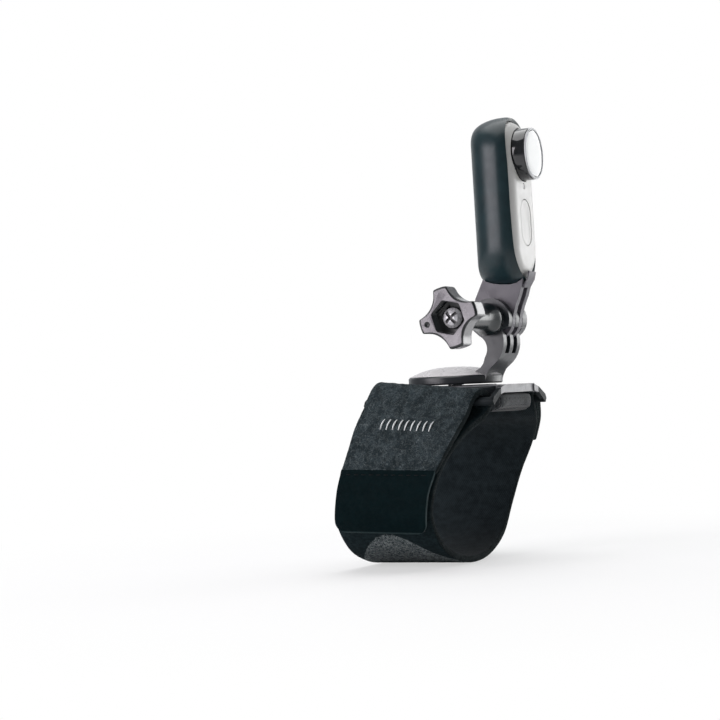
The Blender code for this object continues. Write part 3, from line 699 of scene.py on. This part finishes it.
def swivel_arm(arm, top):
    """Swivelling arm; the upward-facing crown of its disc gets its own pale material, a painted reflection of the
    bright surroundings.
    """
    obj = from_node("swivel_arm", "turntable_j_arm", "turntable", [arm, top], 0.30)
    for polygon in obj.data.polygons:
        centre = obj.matrix_world @ polygon.center / MM
        out = math.hypot(centre.x - SWIVEL[0], centre.y - SWIVEL[1])
        # Upward faces of the disc's crown take the pale painted reflection.
        if polygon.normal.z > CROWN_SLOPE and centre.z < CROWN_TOP and out < TABLE_R:
            polygon.material_index = 1
    return obj


def plate(body, bars):
    """Base plate; the plate between its two strap bars carries a pale grey painted reflection, and the bars are
    darker than the plate between them.
    """
    start = BAR_START * MM

    def divide(work):
        for side in (-start, start):
            everything = list(work.verts) + list(work.edges) + list(work.faces)
            bmesh.ops.bisect_plane(work, geom=everything, plane_co=(0, side, 0), plane_no=(0, 1, 0))
        for face in work.faces:
            face.material_index = 1 if abs(face.calc_center_median().y) > start else 0

    obj = from_node("plate", "base_plate", "base", [body, bars], 0.35)
    reshape(obj.data, divide)
    return obj


def stand_for(obj, *nodes):
    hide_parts(*nodes)
    return obj


# ---------------------------------------------------------------- camera and its soft shell

def pill_frame():
    """The pill's outline as outward directions, each with its place along the middle line."""
    arc_steps, side_steps = 30, 16
    top, bottom = LENS_Z, PILL_LO + PILL_R
    points = []
    for start, sign, here, there in ((0.0, -1, top, bottom), (math.pi, 1, bottom, top)):
        for k in range(arc_steps + 1):
            angle = start + math.pi * k / arc_steps
            points.append((math.cos(angle), math.sin(angle), here))
        for k in range(1, side_steps):
            points.append((sign, 0.0, here + (there - here) * k / side_steps))
    return points


PILL = pill_frame()


def pill_ring(x, inset, low=None, high=None):
    """Ring at x, pulled in from the shell's outer form; `low` and `high` ease the pull at the ends."""
    bottom = PILL_LO + PILL_R
    span = LENS_Z - bottom
    drop = 0.0 if low is None else (inset - low) / span
    rise = 0.0 if high is None else (inset - high) / span
    radius = PILL_R - inset
    ring = []
    for ny, nz, z in PILL:
        shift = rise * (z - bottom) - drop * (LENS_Z - z)
        ring.append((x, radius * ny, z + radius * nz + shift))
    return ring


def back_rings(skin):
    rings, steps = [], 14
    depth = SIDE_X - BACK_X - skin
    for k in range(steps + 1):
        angle = math.pi / 2 * (1 - k / steps)
        pull = BACK_INSET * (1 - math.cos(angle)) * (PILL_R - skin) / PILL_R
        low = skin + BACK_EASE_LOW * pull
        high = skin + BACK_EASE_HIGH * pull
        rings.append(pill_ring(SIDE_X - depth * math.sin(angle), skin + pull, low, high))
    return rings


def rim_angle(ny, z):
    """How far the shell wraps round the camera's front corner at one place on its rim."""
    middle = (PILL_HI + PILL_LO) / 2
    along = (z - middle) / (PILL_HI - middle)
    side = RIM_NEAR + (RIM_FAR - RIM_NEAR) * (1 + ny) / 2
    if along > 0:
        return side + (RIM_TOP - side) * along ** 4
    return side + RIM_WRAP * along ** 2


def wrap_rings(skin, steps=10, reach=1.0):
    radius = CORNER_R - skin
    rings = []
    for j in range(steps + 1):
        ring = []
        for ny, nz, z in PILL:
            angle = rim_angle(ny, z + PILL_R * nz) * reach * j / steps
            width = PILL_R - skin - radius * (1 - math.cos(angle))
            ring.append((CORNER_X + radius * math.sin(angle), width * ny, z + width * nz))
        rings.append(ring)
    return rings


def corner_rings(skin):
    radius = CORNER_R - skin
    angles = [math.pi / 2 * j / 12 for j in range(13)]
    return [pill_ring(CORNER_X + radius * math.sin(a), skin + radius * (1 - math.cos(a))) for a in angles]


def soft_shell(material):
    """Soft-touch shell with a rolled rim and a rounded back."""
    outer = back_rings(0.0) + wrap_rings(0.0, reach=0.985)
    lip = [wrap_rings(skin, 1, reach)[1] for skin, reach in ((0.15, 0.997), (0.4, 1.0), (0.65, 0.997))]
    inner = wrap_rings(WALL, reach=0.985)[::-1] + back_rings(WALL)[::-1]
    shell = loft("cradle_skin", "cradle", outer + lip + inner, [material], TILT_FRAME)
    return stand_for(shell, "cradle_shell")


def capsule(radius, half):
    points, steps = [], 20
    for centre, start in ((BUTTON_Z + half, 0.0), (BUTTON_Z - half, math.pi)):
        for k in range(steps + 1):
            angle = start + math.pi * k / steps
            points.append((radius * math.cos(angle), centre + radius * math.sin(angle)))
    return points


def camera_front(material):
    outer = [pill_ring(PARTING_X, SKIN)] + corner_rings(SKIN)
    inner = [pill_ring(FRONT_X - 1.2, SKIN + 6.0), pill_ring(FRONT_X - 2.0, SKIN + 3.7)]
    inner += [pill_ring(FRONT_X - 3.3, SKIN + 1.9), pill_ring(PARTING_X, SKIN + 1.2)]
    front = loft("camera_face", None, inner + outer, [material], TILT_FRAME)
    around = (FRONT_X - 4, FRONT_X + 2)
    holes = [circle(LENS_R + GAP, (0, LENS_Z)), capsule(BUTTON_R + BUTTON_GAP, BUTTON_HALF)]
    holes.append(circle(LIGHT_R, (0, LIGHT_Z), 24))
    for outline in holes:
        carve(front, prism("cutter", None, outline, *around, "x", [material], TILT_FRAME))
    soften(front, 0.14, 2, 35)
    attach(front, "cradle")
    return stand_for(front, "camera_front_shell")


def shutter_cap(material):
    """Raised capsule button with a dished face."""
    levels = [(-1.3, 0.0), (-0.35, 0.0), (-0.15, 0.08), (-0.05, 0.3)]
    levels += [(-0.05, 0.8), (-0.18, 1.5), (-0.24, 2.6)]
    rings = []
    for height, shrink in levels:
        outline = capsule(BUTTON_R - shrink, BUTTON_HALF)
        rings.append([(FRONT_X + height, y, z) for y, z in outline])
    cap = loft("shutter_cap", "button", rings, [material], TILT_FRAME)
    return stand_for(cap, "shutter_button")


def lens(black, rim, cover):
    centre = (LENS_X, 0, LENS_Z)
    barrel = [(5.6, -7.6), (7.4, -7.6), (7.4, -6.6), (LENS_R, -6.6), (LENS_R, -4.9)]
    barrel += [(LENS_R - 0.12, -4.8), (LENS_R - 0.12, -4.55), (LENS_R, -4.45), (LENS_R, -0.75)]
    barrel += [(LENS_R - 0.08, -0.56), (LENS_R - 0.25, -0.5), (5.6, -0.5)]
    housing = turned("lens_housing", "cradle", barrel, "x", centre, [black], TILT_FRAME)
    stand_for(housing, "lens_barrel")
    ring = rounded([(7.75, -0.2), (LENS_R - 0.1, -0.2), (LENS_R - 0.1, 0.18), (8.1, 0.3), (7.75, 0.3)], 0.12)
    stand_for(turned("lens_ring", "cradle", ring, "x", centre, [rim], TILT_FRAME), "lens_bezel")
    face = [(0.02, -0.2), (7.5, -0.2), (7.5, 0.02), (7.44, 0.10), (7.3, 0.13)]
    face += [(5.0, 0.145), (2.5, 0.15), (0.02, 0.15)]
    stand_for(turned("lens_cover", "cradle", face, "x", centre, [cover], TILT_FRAME), "lens_guard")


# ---------------------------------------------------------------- thumb screw

def star_radius(angle):
    """Blunt lobes with a round scallop between each pair, and softened corners."""
    from_lobe = (angle - STAR_TURN + math.pi / 4) % (math.pi / 2) - math.pi / 4
    from_scallop = math.pi / 4 - abs(from_lobe)
    beyond = SCALLOP_R ** 2 - (SCALLOP_AT * math.sin(from_scallop)) ** 2
    scallop = SCALLOP_AT * math.cos(from_scallop) - math.sqrt(max(beyond, 0.0))
    return -STAR_SOFT * math.log(math.exp(-scallop / STAR_SOFT) + math.exp(-STAR_R / STAR_SOFT))


def star(shrink):
    points, count = [], 256
    for k in range(count):
        angle = 2 * math.pi * k / count
        radius = star_radius(angle) - shrink
        points.append((radius * math.cos(angle), radius * math.sin(angle)))
    return points


def thumb_knob(face, edge, side, stem):
    """Four-lobed knob: flat face in a dark bevelled edge, walls, slim neck and flange; the face and the walls are
    painted pale grey as painted reflections of the bright surroundings.
    """
    hx, hz = HINGE[0], HINGE[2]
    levels = [(STAR_FRONT, 0.75), (STAR_FRONT + 0.03, 0.45), (STAR_FRONT + 0.16, 0.18)]
    levels += [(STAR_FRONT + 0.40, 0.04), (STAR_FRONT + 0.8, 0.0), (STAR_BACK - 2.4, 0.0)]
    levels += [(STAR_BACK - 1.5, 0.12), (STAR_BACK - 0.8, 0.45), (STAR_BACK - 0.3, 0.95), (STAR_BACK, 1.7)]
    rings = [[(hx + x, y, hz + z) for x, z in star(shrink)] for y, shrink in levels]
    neck = [(NECK_R + 1.3, STAR_BACK + 0.5), (NECK_R + 0.4, STAR_BACK + 1.4), (NECK_R, STAR_BACK + 2.8)]
    neck += [(NECK_R, -16.5), (NECK_R + 0.1, -15.2), (NECK_R + 0.5, -14.0), (FLANGE_R - 0.7, -12.6)]
    neck += [(FLANGE_R - 0.2, -11.5), (FLANGE_R, -10.6), (FLANGE_R, FLANGE_Y + 0.15)]
    neck += [(FLANGE_R - 0.15, FLANGE_Y)]
    for radius, y in neck:
        rings.append([(hx + x, y, hz + z) for x, z in circle(radius, count=256)])
    knob = loft("thumb_grip", None, rings, [edge, face, side, stem])
    # Face and walls take the pale painted-reflection materials; the bevel and the neck stay near-black.
    for polygon in knob.data.polygons:
        depth = polygon.center.y / MM
        if depth < STAR_FRONT + 0.01:
            polygon.material_index = 1
        elif STAR_FRONT + 0.75 < depth < STAR_BACK + 0.1:
            polygon.material_index = 2
        elif depth > STAR_BACK + 0.1:
            polygon.material_index = 3
    pocket_end = STAR_FRONT + POCKET_DEPTH
    pocket = circle(HEX_FLATS / math.sqrt(3), (hx, hz), 6, HEX_TURN)
    carve(knob, prism("cutter", None, rounded(pocket, 0.5), STAR_FRONT - 2, pocket_end, "y", [edge]))
    carve(knob, prism("cutter", None, circle(BORE_R, (hx, hz)), pocket_end - 2, FLANGE_Y + 2, "y", [edge]))
    lobe = STAR_TURN + math.pi
    dimple = (hx + DIMPLE_AT * math.cos(lobe), STAR_FRONT - 1.0, hz + DIMPLE_AT * math.sin(lobe))
    profile = [(0.02, -DIMPLE_R)]
    for k in range(1, 12):
        angle = -math.pi / 2 + math.pi * k / 12
        profile.append((DIMPLE_R * math.cos(angle), DIMPLE_R * math.sin(angle)))
    profile.append((0.02, DIMPLE_R))
    carve(knob, turned("cutter", None, profile, "y", dimple, [edge], count=32))
    knob.data.shade_smooth()
    knob.data.set_sharp_from_angle(angle=math.radians(35))
    knob.modifiers.new("flats", "WEIGHTED_NORMAL").weight = 90
    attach(knob, "knob")
    return stand_for(knob, "thumb_knob")


# ---------------------------------------------------------------- strap

class Strip:
    """A strap's middle line with its width and normal, looked up by length along it."""

    def __init__(self, line, offset=0.0):
        points = np.array(self.curve(line, 24), float)
        steps = np.linalg.norm(np.diff(points[:, :3], axis=0), axis=1)
        self.along = np.concatenate([[0.0], np.cumsum(steps)])
        run = np.gradient(points[:, 1:3], self.along, axis=0)
        run /= np.linalg.norm(run, axis=1)[:, None]
        self.normal = np.stack([np.zeros(len(run)), run[:, 1], -run[:, 0]], axis=1)
        self.centre = points[:, :3] + self.normal * offset
        self.half = points[:, 3] / 2
        self.lean = points[:, 4]
        self.length = self.along[-1]

    @staticmethod
    def curve(points, per_span):
        ends = [points[0], *points, points[-1]]
        out = []
        for i in range(1, len(ends) - 2):
            p0, p1, p2, p3 = (np.array(p, float) for p in ends[i - 1:i + 3])
            for k in range(per_span):
                t = k / per_span
                square = 2 * p0 - 5 * p1 + 4 * p2 - p3
                cube = 3 * p1 - p0 - 3 * p2 + p3
                out.append(0.5 * (2 * p1 + (p2 - p0) * t + square * t ** 2 + cube * t ** 3))
        out.append(np.array(points[-1], float))
        return out

    def look_up(self, values, s):
        if values.ndim == 1:
            return float(np.interp(s, self.along, values))
        return np.array([np.interp(s, self.along, values[:, k]) for k in range(3)])

    def at(self, across, along, height):
        """Point at `across` from the middle, `along` from the start, `height` off the middle layer."""
        lean = self.look_up(self.lean, along)
        normal = self.look_up(self.normal, along)
        normal /= np.linalg.norm(normal)
        return self.look_up(self.centre, along) + np.array([across, 0, -lean * across]) + normal * height


def strap_piece(name, body, strip, thick, materials, step=0.8, columns=40, fuzz=0.0, plan=None):
    """Strap with rounded edges and ends. Slot 0 is the outer face, slot 1 the inner, slot 2 the edge."""
    half_t = thick / 2
    stations = max(6, int(strip.length / step))
    ends = [0.0, 0.12, 0.35, 0.7]
    lengths = ends + list(np.linspace(1.2, strip.length - 1.2, stations))
    lengths += [strip.length - end for end in ends[::-1]]
    edge = [math.radians(a) for a in (67.5, 45, 22.5, 0, -22.5, -45, -67.5)]
    verts, coords, count = [], [], 2 * (columns + 1) + 2 * len(edge)
    for s in lengths:
        from_end = min(s, strip.length - s)
        squeeze = math.sqrt(max(0.0, 1 - (1 - min(from_end / 0.9, 1.0)) ** 2)) * 0.75 + 0.25
        half = strip.look_up(strip.half, s) - (plan(s) if plan else 0.0)
        section = []
        for k in range(columns + 1):
            section.append((-half + half_t * 0.6 + (2 * half - 1.2 * half_t) * k / columns, half_t))
        section += [(half - half_t * 0.6 * (1 - math.cos(a)), half_t * math.sin(a)) for a in edge]
        section += [(a, -b) for a, b in section[columns::-1]]
        section += [(-half + half_t * 0.6 * (1 - math.cos(a)), -half_t * math.sin(a)) for a in edge]
        for across, height in section:
            shift = 0.0
            if fuzz:
                place = strip.at(across, s, 0.0)
                shift = fuzz * (noise.noise(Vector(place) * 1.3) + 0.6 * noise.noise(Vector(place) * 0.35))
            verts.append(tuple(strip.at(across, s, height * squeeze + (shift if height > 0 else -shift))))
            coords.append((across, s, height))
    faces = ring_faces(len(lengths), count)
    slots = []
    for face in faces[:-2]:
        heights = [coords[v][2] for v in face]
        middle = sum(heights) / 4
        slots.append(0 if middle > 0.85 * half_t else 1 if middle < -0.85 * half_t else 2)
    slots += [2, 2]
    obj = piece(name, None, verts, faces, materials, slots, smooth=60)
    attribute = obj.data.attributes.new("strip_mm", "FLOAT_VECTOR", "POINT")
    attribute.data.foreach_set("vector", [c for triple in coords for c in triple])
    if body:
        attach(obj, body)
    return obj


def stitch_runs(path):
    """Ends of each stitch in a row sewn along a path of (across, along) points on a strap."""
    points = np.array(path, float)
    total = np.concatenate([[0.0], np.cumsum(np.linalg.norm(np.diff(points, axis=0), axis=1))])
    runs = []
    for start in np.arange(0.3, total[-1] - STITCH, STITCH_PITCH):
        ends = [[np.interp(s, total, points[:, k]) for k in range(2)] for s in (start, start + STITCH)]
        runs.append(ends)
    return runs


def stitches(name, body, strip, runs, height, material, radius=0.17, rise_share=0.7):
    """Thread stitches lying on a strap, each from one (across, along) point to another."""
    verts, faces = [], []
    sides, rings = 6, 7
    for start, end in runs:
        base = len(verts)
        start, end = np.array(start, float), np.array(end, float)
        for i in range(rings):
            t = i / (rings - 1)
            across, along = start + (end - start) * t
            here = strip.at(across, along, height)
            run = strip.at(*(start + (end - start) * (t + 0.02)), height) - here
            run /= np.linalg.norm(run)
            up = strip.at(across, along, height + 1.0) - here
            side = np.cross(run, up)
            rise = radius * (1.5 * math.sin(math.pi * t) - rise_share)
            thin = radius * (0.55 + 0.45 * math.sin(math.pi * t))
            for k in range(sides):
                angle = 2 * math.pi * k / sides
                point = here + up * (rise + thin * math.sin(angle)) + side * thin * math.cos(angle)
                verts.append(tuple(point))
        faces += [tuple(base + v for v in face) for face in ring_faces(rings, sides)]
    row = piece(name, None, verts, faces, [material], smooth=80)
    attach(row, body)
    return row


def corner_plan(length, radius):
    """How much narrower a strap is near its far end, for corners rounded to `radius`."""
    def narrower(s):
        into = max(0.0, s - (length - radius))
        return radius - math.sqrt(max(radius ** 2 - into ** 2, 0.0))
    return narrower


def strap(looks):
    felt_face, inside, edge = looks["felt"], looks["lining"], looks["felt_edge"]
    band_strip = Strip(BAND_LINE)
    band = strap_piece("strap_loop", "base", band_strip, BAND_T, [looks["band"], inside, edge], fuzz=0.05)
    stand_for(band, "strap_band")
    flap_strip = Strip(FLAP_LINE)
    flap = strap_piece("strap_fold", None, flap_strip, FLAP_T, [felt_face, inside, edge], 0.5, 56, fuzz=0.12)
    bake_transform(flap)
    stand_for(flap, "strap_flap")
    tab_strip = Strip(TAB_LINE, TAB_OFFSET)
    faces = [looks["tab"], looks["tab"], looks["tab_edge"]]
    corners = corner_plan(tab_strip.length, TAB_CORNER)
    tab = strap_piece("hook_tab_face", "flap", tab_strip, TAB_T, faces, 0.6, plan=corners)
    stand_for(tab, "hook_tab")
    hook_line = [(x, y, z, width - HOOK_MARGIN, tilt) for x, y, z, width, tilt in TAB_LINE[1:]]
    hook_strip = Strip(hook_line, HOOK_OFFSET)
    hooks = strap_piece("hook_patch", "flap", hook_strip, HOOK_T, [looks["hooks"]] * 3, 0.6)
    stand_for(hooks, "hook_field")
    tab_half = tab_strip.half[0] - 2.0
    seam = stitch_runs([(-tab_half, 1.6), (tab_half, 1.6)])
    stitches("tab_seam", "flap", tab_strip, seam, TAB_T / 2, looks["black_thread"])
    places = np.linspace(-MARK_HALF, MARK_HALF, MARK_BARS)
    bars = [((across, MARK_LO), (across, MARK_HI)) for across in places]
    white = looks["white_thread"]
    stitches("sewn_mark", "flap", flap_strip, bars, FLAP_T / 2 + 0.1, white, 0.27, 0.2)
    near, far = (band_strip.length - inset for inset in BOX_ENDS)
    box = [(-BOX_HALF, near), (BOX_HALF, near), (BOX_HALF, far), (-BOX_HALF, far), (-BOX_HALF, near)]
    stitches("sewn_end", "base", band_strip, stitch_runs(box), BAND_T / 2, looks["dark_thread"])


# ---------------------------------------------------------------- pad

def swell(obj, cap):
    """Blow fabric up by cloth simulation, holding its top, and cap how far any point moves."""
    top = max(v.co.z for v in obj.data.vertices)
    held = obj.vertex_groups.new(name="held")
    held.add([v.index for v in obj.data.vertices if v.co.z > top - PAD_HELD * MM], 1.0, "REPLACE")
    before = np.array([v.co for v in obj.data.vertices])
    cloth = obj.modifiers.new("swell", "CLOTH")
    cloth.settings.use_pressure = True
    cloth.settings.uniform_pressure_force = PAD_PRESSURE
    cloth.settings.effector_weights.gravity = 0.0
    cloth.settings.vertex_group_mass = "held"
    for step in range(1, CLOTH_FRAMES + 1):
        bpy.context.scene.frame_set(step)
    apply_modifiers(obj)
    bpy.context.scene.frame_set(1)
    after = np.array([v.co for v in obj.data.vertices])
    move = after - before
    reach = np.linalg.norm(move, axis=1)[:, None]
    move *= np.minimum(1.0, cap * MM / np.maximum(reach, 1e-9))
    move[:, 2] = np.minimum(move[:, 2], 0.0)
    obj.data.vertices.foreach_set("co", (before + move).ravel())
    obj.data.update()


def padded_cover(material):
    """Padded fabric under the plate, shrunk a little and swollen back by cloth simulation."""
    pad = copy_of("hand_pad", "pad_cover", [material])
    soften(pad, 0.8)
    apply_modifiers(pad)
    remesh = pad.modifiers.new("remesh", "REMESH")
    remesh.mode = "VOXEL"
    remesh.voxel_size = PAD_VOXEL * MM
    smooth = pad.modifiers.new("smooth", "CORRECTIVE_SMOOTH")
    smooth.iterations = 6
    smooth.use_only_smooth = True
    apply_modifiers(pad)
    swell(pad, PAD_CAP)
    pad.modifiers.new("finer", "SUBSURF").levels = 1
    pad.modifiers["finer"].render_levels = 1
    apply_modifiers(pad)
    pad.data.shade_smooth()
    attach(pad, "base")
    return stand_for(pad, "hand_pad")


# ---------------------------------------------------------------- stage

def floor_look():
    """Pale floor that keeps its shading near the object and fades to the white surround."""
    look = Look("pale_floor", roughness=0.7)
    cloud = look.noise(0.004, 2.0)
    look.set(Base_Color=look.mix(cloud, (0.84, 0.84, 0.84), (0.90, 0.90, 0.90)))
    reach = look.node("ShaderNodeVectorMath", operation="LENGTH")
    look.feed(reach.inputs[0], look.place)
    seen = look.node("ShaderNodeLightPath").outputs["Is Camera Ray"]
    fade = look.times(look.span(reach.outputs["Value"], 70.0, 260.0, 0.55, 1.0), seen)
    glow = look.node("ShaderNodeEmission")
    blend = look.node("ShaderNodeMixShader")
    look.feed(blend.inputs[0], fade)
    look.tree.links.new(look.shader.outputs[0], blend.inputs[1])
    look.tree.links.new(glow.outputs[0], blend.inputs[2])
    look.tree.links.new(blend.outputs[0], look.tree.nodes["Material Output"].inputs["Surface"])
    return look.material


def floor(material):
    low = CAD_BOX[0][2] / MM - FLOOR_GAP
    outline = [(x, y, low) for x, y in circle(FLOOR_R, count=96)]
    ground = piece("floor", None, outline, [tuple(range(96))], [material])
    return ground


def softbox(name, centre, size, power, colour):
    data = bpy.data.lights.new(name, "AREA")
    data.shape = "RECTANGLE"
    data.size, data.size_y = size[0] * MM, size[1] * MM
    data.energy = power
    data.color = colour
    lamp = bpy.data.objects.new(name, data)
    bpy.context.scene.collection.objects.link(lamp)
    lamp.location = Vector(centre) * MM
    aim = Vector(LAMP_TARGET) - Vector(centre)
    lamp.rotation_euler = aim.to_track_quat("-Z", "Y").to_euler()
    return lamp


def sky():
    """White to the camera; to everything else a white backdrop behind the object and a dim front."""
    world = bpy.data.worlds.new("sky")
    bpy.context.scene.world = world
    world.use_nodes = True
    tree = world.node_tree
    tree.nodes.clear()
    kinds = ("OutputWorld", "Background", "Background", "MixShader", "LightPath")
    out, seen, room, pick, ray = (tree.nodes.new("ShaderNode" + kind) for kind in kinds)
    kinds = ("TexCoord", "SeparateXYZ", "MapRange")
    way, depth, strength = (tree.nodes.new("ShaderNode" + kind) for kind in kinds)
    strength.interpolation_type = "SMOOTHSTEP"
    for socket, number in zip(list(strength.inputs)[1:5], (-0.1, 0.75, ROOM_LIGHT, BACKDROP_LIGHT)):
        socket.default_value = number
    room.inputs["Color"].default_value = (0.95, 0.97, 1.0, 1.0)
    seen.inputs["Color"].default_value = (1.0, 1.0, 1.0, 1.0)
    links = (
        (way.outputs["Generated"], depth.inputs[0]), (depth.outputs["Y"], strength.inputs[0]),
        (strength.outputs[0], room.inputs["Strength"]), (ray.outputs["Is Camera Ray"], pick.inputs[0]),
        (room.outputs[0], pick.inputs[1]), (seen.outputs[0], pick.inputs[2]),
        (pick.outputs[0], out.inputs["Surface"]),
    )
    for start, end in links:
        tree.links.new(start, end)


def viewpoint():
    """Camera at the photograph's angle, with the hinge right of and above the picture's middle."""
    back = Vector((math.sin(AZIMUTH) * math.cos(ELEVATION), -math.cos(AZIMUTH) * math.cos(ELEVATION),
                   math.sin(ELEVATION)))
    right = Vector((0, 0, 1)).cross(back).normalized()
    up = back.cross(right)
    rolled_right = right * math.cos(ROLL) - up * math.sin(ROLL)
    rolled_up = up * math.cos(ROLL) + right * math.sin(ROLL)
    place = Vector(HINGE) + back * DISTANCE - rolled_right * HINGE_IN_VIEW[0] - rolled_up * HINGE_IN_VIEW[1]
    data = bpy.data.cameras.new("view")
    data.sensor_width = SENSOR
    data.lens = FOCAL
    camera = bpy.data.objects.new("view", data)
    bpy.context.scene.collection.objects.link(camera)
    turn = Matrix((rolled_right, rolled_up, back)).transposed().to_4x4()
    camera.matrix_world = Matrix.Translation(place * MM) @ turn
    bpy.context.scene.camera = camera


# ---------------------------------------------------------------- everything

def paint(node, material):
    """Give a carried-over CAD node its finished material."""
    for slot in frame["nodes"][node].material_slots:
        slot.material = material


def main():
    plastic = {name: moulded(name) for name in PLASTICS if name != "gloss_black_plastic"}
    gloss = moulded("gloss_black_plastic", Coat_Weight=0.6)
    white, grey = plastic["camera_white_shell"], plastic["camera_grey_shell"]
    bright = steel("screw_steel")
    looks = {
        "felt": felt(
            "strap_felt_face", (0.012, 0.019, 0.022), (0.030, 0.043, 0.049), (0.16, 0.185, 0.19), 0.65,
        ),
        "felt_edge": felt(
            "strap_felt_edge", (0.006, 0.010, 0.011), (0.013, 0.019, 0.021), (0.05, 0.06, 0.06), 0.4,
        ),
        "band": band_outer("strap_band_face"),
        "lining": lining("strap_lining"),
        "tab": nylon("tab_weave", (0.0006, 0.0045, 0.0055), (0.0016, 0.0080, 0.0095),
                     hem_from=Strip(TAB_LINE).length - TAB_HEM, hem=(0.022, 0.036, 0.038)),
        "tab_edge": nylon("tab_welt", (0.026, 0.042, 0.044), (0.045, 0.065, 0.068)),
        "hooks": patterned("hook_pile", (0.008, 0.009, 0.010), (0.03, 0.032, 0.035), 1.6, 0.7, depth=0.4),
        "dark_thread": thread_look("dark_thread", (0.008, 0.010, 0.012), (0.022, 0.026, 0.029)),
        "black_thread": thread_look("black_thread", (0.001, 0.002, 0.003), (0.004, 0.006, 0.007)),
        "white_thread": thread_look("white_thread", (0.70, 0.72, 0.72), (0.88, 0.90, 0.90)),
    }

    soft_shell(plastic["soft_touch"])
    camera_front(white)
    shutter_cap(white)
    lens(gloss, grey, disc_cover("lens_cover_painted_reflection"))
    thumb_knob(plastic["knob_face_painted_reflection"], plastic["knob_edge"], plastic["knob_side_painted_reflection"], plastic["stem_black"])
    from_node("fork", "cradle_bracket", "cradle", [plastic["fork_plastic"]], 0.28)
    swivel_arm(plastic["arm_plastic"], plastic["turntable_crown_painted_reflection"])
    plate(plastic["plate_plastic_painted_reflection"], plastic["bar_plastic"])
    padded_cover(mesh_cover("pad_mesh"))
    strap(looks)

    paint("camera_rear_shell", grey)
    for node in ("captive_nut", "flange_washer", "swivel_rivet", "button_switch"):
        paint(node, bright)
    paint("knob_screw", cross_screw("screw_plating_recess_shade"))
    glass = patterned("element_glass", (0.03, 0.035, 0.05), (0.05, 0.06, 0.09), 0.2, 0.06, depth=0.001)
    board = board_look("green_board")
    paint("lens_front_element", glass)
    paint("lens_rear_element", glass)
    paint("image_sensor", board)
    paint("main_board", board)
    paint("battery", patterned("cell_foil", (0.22, 0.23, 0.25), (0.36, 0.37, 0.39), 0.8, 0.4, 0.6, 0.04, 2.0))
    paint("light_window", patterned("smoked_window", (0.20, 0.20, 0.21), (0.28, 0.28, 0.29), 1.0, 0.15))
    magnet = patterned("magnet_plating", (0.50, 0.51, 0.53), (0.66, 0.67, 0.69), 1.5, 0.25, 1.0)
    gold = patterned("contact_gold", (0.70, 0.48, 0.18), (0.88, 0.66, 0.30), 2.0, 0.22, 1.0)
    for end in ("lower", "upper"):
        paint("magnet_" + end, magnet)
    for side in ("near", "far"):
        paint("contact_" + side, gold)

    floor(floor_look())
    for lamp in LAMPS:
        softbox(*lamp)
    sky()
    viewpoint()


main()
bpy.context.scene.view_settings.view_transform = "Standard"
